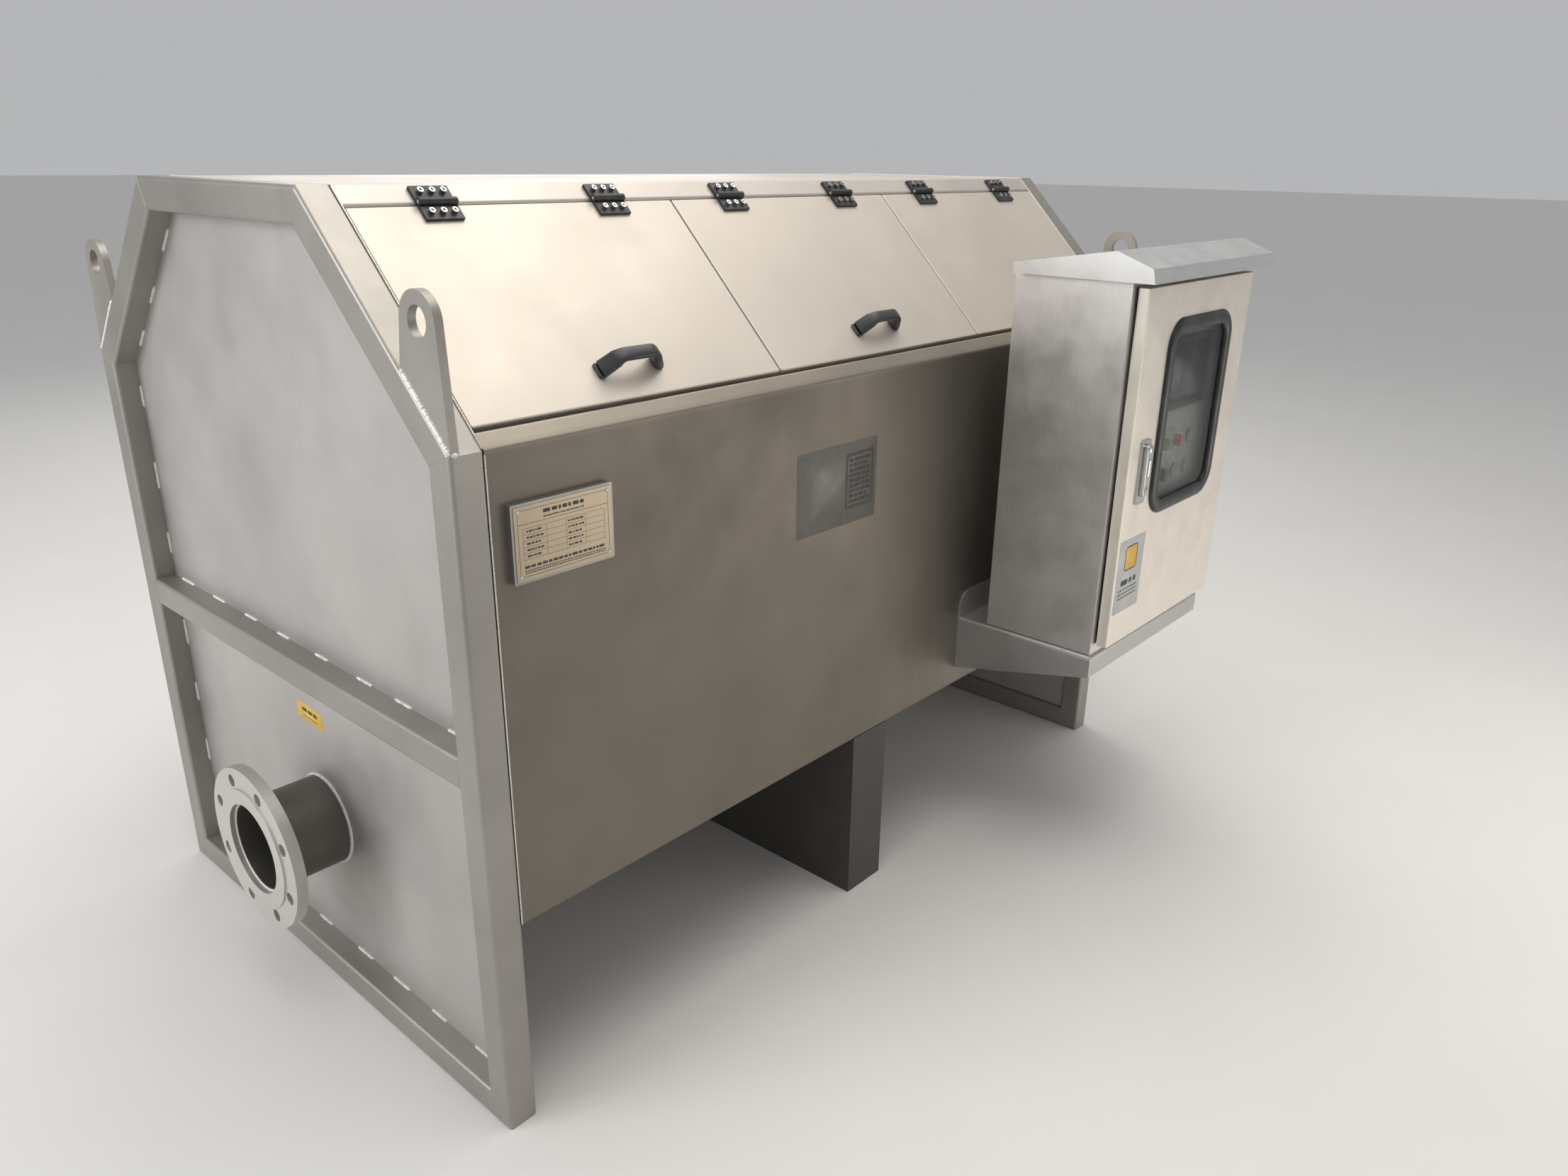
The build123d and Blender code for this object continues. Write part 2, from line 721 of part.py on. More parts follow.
def build_spray():
    """Wash pipe over the drum on hangers, with its spray nozzles."""
    end = x_right + spray_reach
    line = pipe(spray_radius, spray_wall, (drum_left, end), 0, spray_height)
    line += rod(spray_radius, (drum_left, drum_left + spray_wall), 0, spray_height)
    union_wall = union_radius - spray_radius + spray_wall
    line += pipe(union_radius, union_wall, (end - union_length, end), 0, spray_height)
    under_top = housing_height - shell_sheet
    middle = (drum_left + drum_right) / 2
    span = (drum_right - drum_left) / 2
    for place in (-0.8, 0, 0.8):
        x = middle + place * span
        strap = block((x - 15, x + 15), (-3, 3), (spray_height + spray_radius - 2, under_top))
        line += strap
    add("spray_pipe", line)
    pitch = (drum_right - drum_left) / nozzle_count
    full = rod(spray_radius, (x_left, x_right), 0, spray_height)
    nozzles = []
    for i in range(nozzle_count):
        x = drum_left + pitch * (i + 0.5)
        low = spray_height - spray_radius - nozzle_length
        nozzles.append(Pos(x, 0, low) * Cylinder(nozzle_radius, spray_height - low, align=FROM_BASE) - full)
    add("spray_nozzles", *nozzles)


# ---------------------------------------------------------------- drum, rollers, drive
def build_drum():
    """Drum cage: end discs, running tracks, hoops and stringers, and the screen round it."""
    length = (drum_left, drum_right)
    left_disc = (drum_left, drum_left + disc_thickness)
    right_disc = (drum_right - disc_thickness, drum_right)
    cage = rod(drum_radius, left_disc, 0, drum_height)
    cage -= rod(carrier_radius + carrier_play, length, 0, drum_height)
    cage += rod(drum_radius, right_disc, 0, drum_height)
    cage -= rod(hub_radius + hub_seal_gap, right_disc, 0, drum_height)
    for start in (drum_left, drum_right - track_width):
        band = track_radius - drum_radius + hoop_depth
        cage += pipe(track_radius, band, (start, start + track_width), 0, drum_height)
    for i in range(hoop_count):
        x = drum_left + (drum_right - drum_left) * (i + 1) / (hoop_count + 1)
        cage += pipe(drum_radius, hoop_depth, (x - 5, x + 5), 0, drum_height)
    low = drum_radius - hoop_depth + stringer_setback
    bar = block(length, (-stringer_width / 2, stringer_width / 2), (low, low + stringer_depth))
    for i in range(stringer_count):
        cage += Pos(0, 0, drum_height) * Rot(360 * i / stringer_count, 0, 0) * bar
    add("drum_cage", cage)
    x_screen = (drum_left + track_width + 1, drum_right - track_width - 1)
    outer = drum_radius + screen_gap + screen_thickness
    add("drum_screen", pipe(outer, screen_thickness, x_screen, 0, drum_height))


def roller_shaft(y, x_end):
    """A shaft with its two rollers pressed on."""
    shaft = rod(shaft_radius, (-bearing_x - bearing_width / 2 - 4, x_end), y, roller_z)
    for start in (drum_left, drum_right - track_width):
        middle = start + track_width / 2
        half = roller_width / 2
        shaft += rod(roller_radius, (middle - half, middle + half), y, roller_z)
    return shaft


def bearing(x, y):
    """Pillow block with its foot under the shaft."""
    half = bearing_width / 2
    body = rod(bearing_radius, (x - half, x + half), y, roller_z)
    base = roller_z - bearing_height
    body += block((x - half, x + half), (y - bearing_radius, y + bearing_radius), (base, roller_z))
    wide = bearing_base / 2
    body += block((x - half, x + half), (y - wide, y + wide), (base, base + bearing_base_height))
    return body - rod(shaft_radius + shaft_play, (x - bearing_width, x + bearing_width), y, roller_z)


def bearing_bracket(end, y):
    """Welded shelf on an end panel that carries one bearing."""
    top = roller_z - bearing_height
    wide = bearing_base / 2 + 5
    x = sorted((end * panel_inner, end * (panel_inner - bracket_reach)))
    shelf = block(x, (y - wide, y + wide), (top - bracket_sheet, top))
    for side in (-1, 1):
        rib_y = sorted((y + side * wide, y + side * (wide - bracket_sheet)))
        rib = Plane.XZ * make_face(
            Polyline(
                (end * panel_inner, top - bracket_sheet),
                (end * (panel_inner - bracket_reach), top - bracket_sheet),
                (end * panel_inner, top - bracket_height),
                close=True,
            )
        )
        shelf += Pos(0, rib_y[1], 0) * extrude(rib, bracket_sheet)
    return shelf


def build_drive():
    gear_x = (panel_outer, panel_outer + gearbox_size[0])
    add("drive_shaft", roller_shaft(-roller_y, gear_x[1] + 8))
    add("idler_shaft", roller_shaft(roller_y, bearing_x + bearing_width / 2 + 4))
    places = [(end, side) for end in (-1, 1) for side in (-1, 1)]
    add("roller_bearings", *[bearing(end * bearing_x, side * roller_y) for end, side in places])
    add("bearing_brackets", *[bearing_bracket(end, side * roller_y) for end, side in places])

    deep, tall = gearbox_size[1] / 2, gearbox_size[2] / 2
    box = block(gear_x, (-roller_y - deep, -roller_y + deep), (roller_z - tall, roller_z + tall))
    box = fillet(box.edges().filter_by(Axis.X), 14)
    through = (gear_x[0] - cut_margin, gear_x[1] + cut_margin)
    box -= rod(shaft_radius + shaft_play, through, -roller_y, roller_z)
    add("gear_motor", box, drive_motor(gear_x[0] + motor_flange_radius + motor_gap, -roller_y + deep))


def drive_motor(x, base):
    """Motor flanged to the gearbox's side, lying across the end with its terminal box on top."""
    end = base + motor_length
    motor = depth_rod(motor_flange_radius, x, (base, base + motor_flange), roller_z)
    motor += depth_rod(motor_radius, x, (base + motor_flange, end - motor_cowl), roller_z)
    motor += depth_rod(motor_radius + 4, x, (end - motor_cowl, end), roller_z)
    middle = base + motor_flange + motor_box / 2 + 20
    top = roller_z + motor_radius
    half = motor_box / 2
    return motor + block((x - half, x + half), (middle - half, middle + half), (top - 6, top + 34))


# ---------------------------------------------------------------- control cabinet
def rounded_plate(width, height, corner, y, x_mid, z_mid):
    """A rounded rectangle standing in the XZ plane between two Y limits."""
    outline = Plane.XZ * RectangleRounded(width, height, corner)
    return Pos(x_mid, y[1], z_mid) * extrude(outline, y[1] - y[0])


def build_shelf():
    """Bent shelf that carries the cabinet, with its wall plate, side plates and front apron."""
    x = (cab_x[0] - shelf_overhang, cab_x[0] - shelf_overhang + shelf_width)
    front = cab_y[0] - shelf_front
    side_outline = [
        (front, cabinet_base),
        (front, cabinet_base - shelf_apron),
        (y_front, cabinet_base - shelf_wall_depth),
        (y_front, cabinet_base),
    ]
    outer = along_x(Plane.YZ * make_face(Polyline(*side_outline, close=True)), x)
    upper = [e for e in outer.edges() if e.center().Z > cabinet_base - 1]
    rim = ShapeList(upper).filter_by(Axis.Y)
    rim += [e for e in ShapeList(upper).filter_by(Axis.X) if e.center().Y < y_front - 1]
    outer = fillet(rim, shelf_bend)
    t = shelf_sheet
    x_in = (x[0] + t, x[1] - t)
    inside = block(x_in, (front + t, y_front - t), (0, cabinet_base - t))
    rise = shelf_upstand + 2 * shelf_corner
    back_y = (y_front - t, y_front)
    upstand = rounded_plate(shelf_width, rise, shelf_corner, back_y, sum(x) / 2, cabinet_base)
    shelf = outer - inside + upstand
    for bolt in cabinet_bolts():
        shelf -= Pos(*bolt, cabinet_base - 2 * t) * Cylinder(cabinet_bolt_radius, 4 * t, align=FROM_BASE)
    add("cabinet_shelf", shelf)


def cabinet_bolts():
    """X and Y of the four bolts that hold the cabinet on its shelf."""
    inset = cabinet_bolt_inset
    across = (cab_x[0] + inset, cab_x[1] - inset - shelf_overhang)
    deep = (cab_y[0] + inset, cab_y[1] - inset)
    return [(x, y) for x in across for y in deep]


def build_cabinet():
    t = cabinet_sheet
    body = block(cab_x, cab_y, cab_z)
    body = fillet(body.edges().filter_by(Axis.Y), door_corner)
    body -= block((cab_x[0] + t, cab_x[1] - t), (cab_y[0] + t, cab_y[1] - t), (cab_z[0] + t, cab_z[1] - t))
    lip = cabinet_lip
    mouth = ((cab_x[0] + lip, cab_x[1] - lip), (cab_z[0] + lip, cab_z[1] - lip))
    body -= block(mouth[0], (cab_y[0] - cut_margin, cab_y[0] + lip), mouth[1])
    for z in door_hinge_levels():
        body += hinge_arm(z)
    for bolt in cabinet_bolts():
        body -= Pos(*bolt, cab_z[0] - t) * Cylinder(cabinet_bolt_radius, 4 * t, align=FROM_BASE)
    for y, z in glands():
        body -= rod(gland_radius * 0.75, (cab_x[1] - 4 * t, cab_x[1] + t), y, z)
    add("cabinet_body", body)

    bolts = []
    for bolt in cabinet_bolts():
        low = cabinet_base - shelf_sheet
        shank = Pos(*bolt, low) * Cylinder(cabinet_bolt_radius, shelf_sheet + t, align=FROM_BASE)
        head = Pos(*bolt, low - 5.3) * extrude(RegularPolygon(7.5, 6), 5.3)
        nut = Pos(*bolt, cabinet_base + t) * extrude(RegularPolygon(7.5, 6), 6.5)
        bolts.append(shank + head + nut)
    add("cabinet_bolts", *bolts)

    fittings = []
    for y, z in glands():
        nose = rod(gland_radius, (cab_x[1], cab_x[1] + 22), y, z)
        collar = Pos(cab_x[1], y, z) * Rot(0, 90, 0) * extrude(RegularPolygon(gland_radius * 1.2, 6), 8)
        stem = rod(gland_radius * 0.75, (cab_x[1] - 10, cab_x[1]), y, z)
        through = rod(gland_radius * 0.4, (cab_x[1] - 12, cab_x[1] + 24), y, z)
        fittings.append(nose + collar + stem - through)
    add("cable_glands", *fittings)
    build_roof()
    build_inside()


def glands():
    """Y and Z of the cable glands in the cabinet's right side."""
    middle = (cab_y[0] + cab_y[1]) / 2
    return [(middle + i * gland_spacing, cab_z[0] + 60) for i in (-1, 0, 1)]


def hinge_arm(z):
    """Fixed arm of one concealed door hinge, with its knuckle round the pin."""
    half = door_hinge_height / 2
    arm = block((pin_x - 3, pin_x + 3), (pin_y, cab_y[0] + 1), (z - half, z + half))
    arm += upright(door_hinge_knuckle, pin_x, pin_y, (z - half, z + half))
    return arm - upright(door_hinge_pin, pin_x, pin_y, (z - half - cut_margin, z + half + cut_margin))


def build_roof():
    """Rain roof: a ridged shell with closed gables, seated on the cabinet by its inner tray."""
    back, front = cab_y[1] - roof_back_setback, cab_y[0] - roof_front
    top = cab_z[1]
    profile = [
        (back, top),
        (back, top + roof_back_edge),
        (back - roof_ridge_run, top + roof_ridge_height),
        (front + roof_slant, top + roof_front_edge),
        (front, top),
    ]
    x = (cab_x[0] - roof_overhang, cab_x[1] + roof_overhang)
    outline = Plane.YZ * make_face(Polyline(*profile, close=True))
    t = roof_sheet
    inner = offset(outline, -t, kind=Kind.INTERSECTION)
    hollow = along_x(inner, (x[0] + t, x[1] - t))
    under = block((x[0] + t, x[1] - t), (front + t, back - t), (top - t, top + 2 * t))
    tray = block(cab_x, cab_y, (top, top + t))
    add("cabinet_roof", along_x(outline, x) - hollow - under + tray)


def build_inside():
    """What the cabinet holds: mounting plate, devices, and the control plate behind the window."""
    wall = cab_y[1] - cabinet_sheet
    plate_y = (wall - plate_standoff - plate_sheet, wall - plate_standoff)
    x = (cab_x[0] + plate_inset, cab_x[1] - plate_inset)
    z = (cab_z[0] + plate_inset + 10, cab_z[1] - plate_inset - 10)
    plate = block(x, plate_y, z)
    for spot_x in (x[0] + 15, x[1] - 15):
        for spot_z in (z[0] + 15, z[1] - 15):
            plate += depth_rod(6, spot_x, (plate_y[1], wall), spot_z)
    add("mounting_plate", plate)

    face = plate_y[0]
    front = face - rail_depth
    device_z, controller_z = (cab_z[1] - drop for drop in rail_rows)
    rails = [
        block((x[0] + 20, x[1] - 20), (front, face), (z - rail_height / 2, z + rail_height / 2))
        for z in (device_z, controller_z)
    ]

    def device(left, size, middle_z):
        wide, deep, tall = size
        return block((left, left + wide), (front - deep, front), (middle_z - tall / 2, middle_z + tall / 2))

    gear = [device(x[0] + left, (wide, device_depth, tall), device_z) for left, wide, tall in device_row]
    controller = device(x[0] + device_row[0][0], controller_size, controller_z)
    first = x[0] + device_row[0][0] + controller_size[0] + 20
    strip = [device(first + terminal_pitch * i, terminal_size, controller_z) for i in range(terminal_count)]
    add("switchgear", *rails, *gear, controller, *strip)
    build_controls()


def control_points():
    """Places on the control plate, as X and Z from the window's middle."""
    middle_x = cab_x[0] + window_left + window_width / 2
    middle_z = cab_z[0] + window_bottom + window_height / 2
    return middle_x, middle_z


def build_controls():
    y = (cab_y[0] + control_plate_setback, cab_y[0] + control_plate_setback + plate_sheet)
    middle_x, middle_z = control_points()
    x = (cab_x[0] + cabinet_lip + 2, cab_x[1] - cabinet_lip - 2)
    z = (cab_z[0] + control_plate_bottom, cab_z[0] + control_plate_top)
    plate = block(x, y, z)
    for low, high in ((cab_x[0] + cabinet_sheet, x[0]), (x[1], cab_x[1] - cabinet_sheet)):
        plate += block((low, high), y, z)
    face = y[0]
    left, centre, right = (middle_x + dx for dx in control_columns)
    upper, lower = (middle_z + dz for dz in control_rows)
    for spot in ((left, upper), (centre, upper), (left, lower)):
        plate -= depth_rod(button_radius + button_fit, spot[0], (face - 1, face + 5), spot[1])
    lamps = [
        depth_rod(lamp_radius, spot_x, (face - button_proud, face), spot_z)
        for spot_x, spot_z in ((right, upper), (centre, lower), (right, lower))
    ]
    add("control_plate", plate, *lamps)

    across = (middle_x - screen_half_width, middle_x + screen_half_width)
    screen = block(across, (face - screen_proud, face), (middle_z + screen_low, middle_z + screen_high))
    add("touch_screen", fillet(screen.edges().filter_by(Axis.Y), screen_corner))

    for name, spot_x in (("start_button", left), ("stop_button", centre)):
        cap = depth_rod(button_radius, spot_x, (face - button_proud, face + button_proud), upper)
        cap += depth_rod(button_rim, spot_x, (face - button_proud, face - button_proud / 2), upper)
        add(name, cap)
    knob = depth_rod(button_radius, left, (face - 10, face + button_proud), lower)
    knob += depth_rod(knob_radius, left, (face - 10, face - 0.3), lower)
    grip_x = (left - knob_bar[0] / 2, left + knob_bar[0] / 2)
    grip_z = (lower - knob_bar[1] / 2, lower + knob_bar[1] / 2)
    knob += block(grip_x, (face - knob_bar_proud, face - 10), grip_z)
    add("mode_switch", knob)


# ---------------------------------------------------------------- cabinet door
def window_ring(inset_outer, inset_inner, y):
    """A rounded ring between two insets of the window gasket's outline."""
    middle_x, middle_z = control_points()

    def sheet(inset, limits):
        width, height = window_width - 2 * inset, window_height - 2 * inset
        return rounded_plate(width, height, window_corner - inset, limits, middle_x, middle_z)

    if inset_inner is None:
        return sheet(inset_outer, y)
    return sheet(inset_outer, y) - sheet(inset_inner, (y[0] - cut_margin, y[1] + cut_margin))


def door_hinge_levels():
    return (cab_z[0] + door_hinge_from_end, cab_z[1] - door_hinge_from_end)


def door_pins():
    """Pins of the door's hinges, as long as all three knuckles."""
    half = door_hinge_height / 2 + hinge_play + door_hinge_barrel
    return [
        upright(door_hinge_pin, pin_x, pin_y, (z - half, z + half)) for z in door_hinge_levels()
    ]


def build_door():
    door = block(door_x, (door_face, door_back), door_z)
    door = fillet(door.edges().filter_by(Axis.Y), door_corner)
    door = fillet(door.faces().sort_by(Axis.Y)[0].edges(), door_sheet)
    t = door_sheet
    hollow = (door_face + t, door_back + 1)
    door -= block((door_x[0] + t, door_x[1] - t), hollow, (door_z[0] + t, door_z[1] - t))
    door -= window_ring(gasket_web, None, (door_face - 1, door_face + t + 1))
    for z in door_hinge_levels():
        start = door_hinge_height / 2 + hinge_play
        notch = start + door_hinge_barrel + door_hinge_notch
        door -= block((door_x[1] - 2 * t, door_x[1] + 1), hollow, (z - notch, z + notch))
        for low in (z - start - door_hinge_barrel, z + start):
            high = low + door_hinge_barrel
            barrel = upright(door_hinge_knuckle, pin_x, pin_y, (low, high))
            barrel += block((pin_x - 5, pin_x + 4), (door_face + t / 2, pin_y), (low, high))
            bore = (low - cut_margin, high + cut_margin)
            door += barrel - upright(door_hinge_pin + shaft_play, pin_x, pin_y, bore)
    door -= depth_rod(latch_shaft + latch_shaft_fit, pivot_x, (door_face - 1, door_face + t + 1), pivot_z)
    add("cabinet_door", door)

    proud = (door_face - gasket_proud, door_face)
    inside = (door_face + pane_thickness, door_face + pane_thickness + gasket_inside)
    edge = gasket_web + pane_edge
    rubber = window_ring(0, gasket_ring, proud)
    rim = [e for e in rubber.faces().sort_by(Axis.Y)[0].edges()]
    rubber = fillet(rim, gasket_proud * 0.45)
    rubber += window_ring(gasket_web, edge, (door_face, inside[0]))
    rubber += window_ring(gasket_web, gasket_ring, inside)
    add("window_gasket", rubber)
    add("window_pane", window_ring(edge, None, (door_face, door_face + pane_thickness)))
    build_latch()


def build_latch():
    middle_z = cab_z[0] + latch_bottom + latch_height / 2
    plate_y = (door_face - latch_plate, door_face)
    plate = rounded_plate(latch_width, latch_height, 5, plate_y, pivot_x, middle_z)
    plate -= depth_rod(latch_shaft + latch_shaft_fit, pivot_x, (door_face - 8, door_face + 1), pivot_z)
    add("latch_plate", plate)
    front = door_face - latch_plate - lever_gap
    reach = lever_length / 2
    lever_y = (front - lever_thickness, front)
    corner = lever_width / 2 - 0.5
    lever = rounded_plate(lever_width, lever_length + lever_width, corner, lever_y, pivot_x, pivot_z - reach)
    lever = fillet(lever.faces().sort_by(Axis.Y)[0].edges(), 2)
    cam_y = (cab_y[0] + 4, cab_y[0] + 4 + cam_sheet)
    lever += depth_rod(latch_shaft, pivot_x, (front, cam_y[1]), pivot_z)
    half = cam_width / 2
    lever += block((pivot_x - cam_length, pivot_x + half), cam_y, (pivot_z - half, pivot_z + half))
    add("latch_lever", lever)


# ---------------------------------------------------------------- nameplate
def build_nameplate():
    x = (x_left + nameplate_position, x_left + nameplate_position + nameplate_width)
    z = (nameplate_bottom, nameplate_bottom + nameplate_height)
    front = y_front - nameplate_depth
    holder = block(x, (front, y_front), z)
    holder = fillet(holder.edges().filter_by(Axis.Y), 3)
    t = shell_sheet / 2
    holder -= block((x[0] + t, x[1] - t), (front + t, y_front + 1), (z[0] + t, z[1] - t))
    add("nameplate_holder", holder)
    m = nameplate_margin
    y = (front - nameplate_sheet, front)
    add("nameplate", block((x[0] + m, x[1] - m), y, (z[0] + m, z[1] - m)))


build_housing()
build_cover_seat()
build_covers()
build_pipework()
build_drum()
build_drive()
build_shelf()
build_cabinet()
build_door()
build_nameplate()

os.makedirs("parts", exist_ok=True)
for name, shape in parts.items():
    shape.label = name
    export_step(shape, f"parts/{name}.step")
print(len(parts), "nodes written")
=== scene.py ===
import json
import math

import bpy
import numpy as np
from mathutils import Matrix, Vector


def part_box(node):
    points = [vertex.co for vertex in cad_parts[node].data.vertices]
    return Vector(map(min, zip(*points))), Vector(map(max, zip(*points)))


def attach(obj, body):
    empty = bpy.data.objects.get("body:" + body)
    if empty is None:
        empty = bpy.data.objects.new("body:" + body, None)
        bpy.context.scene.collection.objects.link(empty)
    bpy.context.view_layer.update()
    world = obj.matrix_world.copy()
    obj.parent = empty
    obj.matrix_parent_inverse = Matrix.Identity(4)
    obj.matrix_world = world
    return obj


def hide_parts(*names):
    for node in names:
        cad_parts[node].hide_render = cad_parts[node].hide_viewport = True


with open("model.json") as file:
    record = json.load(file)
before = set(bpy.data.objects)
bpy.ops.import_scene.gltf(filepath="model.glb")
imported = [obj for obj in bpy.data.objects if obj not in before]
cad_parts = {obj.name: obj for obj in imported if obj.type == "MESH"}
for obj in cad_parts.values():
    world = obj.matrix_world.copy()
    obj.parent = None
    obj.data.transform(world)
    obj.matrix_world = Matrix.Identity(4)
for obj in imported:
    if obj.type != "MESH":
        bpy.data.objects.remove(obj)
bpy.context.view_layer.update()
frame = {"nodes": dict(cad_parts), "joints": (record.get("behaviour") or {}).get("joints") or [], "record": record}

# Rotary drum filter: finishes, welds, labels, handles, seals and small fittings around the CAD model.
# Metres. +X runs to the drive end, -Y is the front, +Z is up.

MM = 0.001
TURN = 2 * math.pi
X_AXIS, Y_AXIS, Z_AXIS = (np.array(v, float) for v in ((1, 0, 0), (0, 1, 0), (0, 0, 1)))
HALF = math.sqrt(0.5)
UP_SLOPE = np.array((0, HALF, HALF))        # the front slope rises at 45 degrees
OUT_SLOPE = np.array((0, -HALF, HALF))      # and faces forwards and up
COVERS = ("left", "middle", "right")
BEAD_SIDES = 8                  # points round a weld bead's section

# Sizes of the CAD model that the finishes and welds line up with.
WALL_FACE = 550 * MM            # long walls' outer faces, from the middle
WALL_FOOT = 350 * MM            # their lower edges
SHOULDER = 1050 * MM            # where the slopes start
RIDGE = 1350 * MM
TOP_HALF = 250 * MM             # half the width of the flat top
TUBE = 50 * MM                  # square tube of the end frames
RAIL_TOP = 625 * MM             # top of their middle rail
FRAME_FACE = 910 * MM           # their outer faces
PANEL_FACE = 872 * MM           # end panels' outer faces
LUG_THICKNESS = 12 * MM
PIPE_RADIUS = 79.5 * MM         # outlet and inlet
FLANGE_FACE = 1005 * MM
FLANGE_THICKNESS = 22 * MM
OUTLET_HEIGHT = 300 * MM
INLET_HEIGHT = 725 * MM
WASTE_HEIGHT = 885 * MM
SPRAY_HEIGHT = 1250 * MM


def corners(node):
    """Lowest and highest corner of a CAD node's box."""
    low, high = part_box(node)
    return np.array(low), np.array(high)


# ---------------------------------------------------------------- surfaces
def rounded_outline(width, height, corner, steps):
    """Rounded rectangle about the origin: four quarter circles of radius `corner`, joined."""
    corner = max(min(corner, width / 2, height / 2), 1e-6)
    quarter = np.linspace(0, TURN / 4, steps)
    angles = np.concatenate([quarter + k * TURN / 4 for k in range(4)])
    signs = np.repeat(np.array([(1, 1), (-1, 1), (-1, -1), (1, -1)]), steps, axis=0)
    centres = signs * np.array((width / 2 - corner, height / 2 - corner))
    return centres + corner * np.stack([np.cos(angles), np.sin(angles)], 1)


def grid_faces(rows, columns, wrap_rows=False):
    """Quads between neighbouring rows of a grid whose columns close on themselves."""
    last = rows if wrap_rows else rows - 1
    i, j = np.meshgrid(np.arange(last), np.arange(columns), indexing="ij")
    k, m = (i + 1) % rows, (j + 1) % columns
    quads = np.stack([i * columns + j, i * columns + m, k * columns + m, k * columns + j], -1)
    return quads.reshape(-1, 4)


def capped(rings):
    """Closed surface from a stack of rings (rows, columns, 3), each end closed to its own middle."""
    rows, columns = rings.shape[:2]
    points = np.concatenate([rings.reshape(-1, 3), rings[0].mean(0)[None], rings[-1].mean(0)[None]])
    faces = [tuple(f) for f in grid_faces(rows, columns)]
    ends = rows * columns
    j = np.arange(columns)
    k = (j + 1) % columns
    faces += [(ends, int(b), int(a)) for a, b in zip(j, k)]
    top = (rows - 1) * columns
    faces += [(ends + 1, int(top + a), int(top + b)) for a, b in zip(j, k)]
    return points, faces


def closed_loop(rings):
    """Closed surface from a stack of rings whose last one joins on to the first."""
    return rings.reshape(-1, 3), [tuple(f) for f in grid_faces(*rings.shape[:2], wrap_rows=True)]


def outlines(at, across, up, size, corner, layers, steps):
    """Rounded rectangles in the plane of `across` and `up`, lifted along their cross product.

    Each layer is (inset, rise): the outline shrinks by inset on every side and lies rise above `at`.
    """
    out = np.cross(across, up)
    rings = []
    for inset, rise in layers:
        flat = rounded_outline(size[0] - 2 * inset, size[1] - 2 * inset, corner - inset, steps)
        rings.append(at + flat[:, :1] * across + flat[:, 1:] * up + rise * out)
    return np.array(rings)


def layered(at, across, up, size, corner, layers, steps):
    """Solid stack of rounded rectangles, one for each (inset, rise) layer."""
    return capped(outlines(at, across, up, size, corner, layers, steps))


def looped(at, across, up, size, corner, profile, steps):
    """Closed ring: a rounded rectangle's outline carries a closed profile of (inset, rise) points."""
    return closed_loop(outlines(at, across, up, size, corner, profile, steps))


def circles(at, normal, profile, count):
    """One circle for each (radius, rise): cosine and sine times two directions square to the normal."""
    side = np.cross(normal, X_AXIS if abs(normal[0]) < 0.9 else Y_AXIS)
    side /= np.linalg.norm(side)
    other = np.cross(normal, side)
    angle = np.linspace(0, TURN, count, endpoint=False)[:, None]
    circle = np.cos(angle) * side + np.sin(angle) * other
    return np.array([at + radius * circle + rise * normal for radius, rise in profile])


def disc(at, normal, radius, layers, count):
    """Turned piece: circles of radius minus inset, each rise along the normal, ends closed."""
    return capped(circles(at, normal, [(radius - inset, rise) for inset, rise in layers], count))


def turned_ring(at, normal, profile, count):
    """Ring turned about a line: a closed profile of (radius, rise) points swept through a full turn."""
    return closed_loop(circles(at, normal, profile, count))


def bead(start, end, radius, seed, pitch=3 * MM):
    """Weld bead: a tube from start to end whose radius swells once per ripple and closes at the ends."""
    start, end = np.array(start, float), np.array(end, float)
    length = np.linalg.norm(end - start)
    along = (end - start) / length
    side = np.cross(along, Z_AXIS if abs(along[2]) < 0.9 else X_AXIS)
    side /= np.linalg.norm(side)
    other = np.cross(along, side)
    steps = max(int(length / (pitch / 3)), 8)
    t = np.linspace(0, 1, steps)
    shake = np.random.default_rng(seed).uniform(-0.07, 0.07, steps)
    swell = 1 + 0.13 * np.sin(TURN * t * length / pitch) + shake
    close = np.clip(np.minimum(t, 1 - t) * length / (1.5 * radius), 0, 1) ** 0.5
    size = radius * swell * np.maximum(close, 0.05)
    angle = np.linspace(0, TURN, BEAD_SIDES, endpoint=False)
    circle = np.cos(angle)[:, None] * side + np.sin(angle)[:, None] * other
    middle = start + t[:, None] * (end - start)
    return capped(middle[:, None] + size[:, None, None] * circle[None])


def ring_bead(at, normal, around, radius, seed, pitch=4 * MM):
    """Weld bead round a pipe: a torus about `normal` whose section swells once per ripple."""
    side = np.cross(normal, Y_AXIS)
    other = np.cross(normal, side)
    count = 360
    turn = np.linspace(0, TURN, count, endpoint=False)
    outward = np.cos(turn)[:, None] * side + np.sin(turn)[:, None] * other
    shake = np.random.default_rng(seed).uniform(-0.06, 0.06, count)
    ripples = round(TURN * around / pitch)
    size = radius * (1 + 0.12 * np.sin(ripples * turn) + shake)
    angle = np.linspace(0, TURN, BEAD_SIDES, endpoint=False)
    section = np.cos(angle)[None, :, None] * outward[:, None] + np.sin(angle)[None, :, None] * normal
    return closed_loop(at + around * outward[:, None] + size[:, None, None] * section)


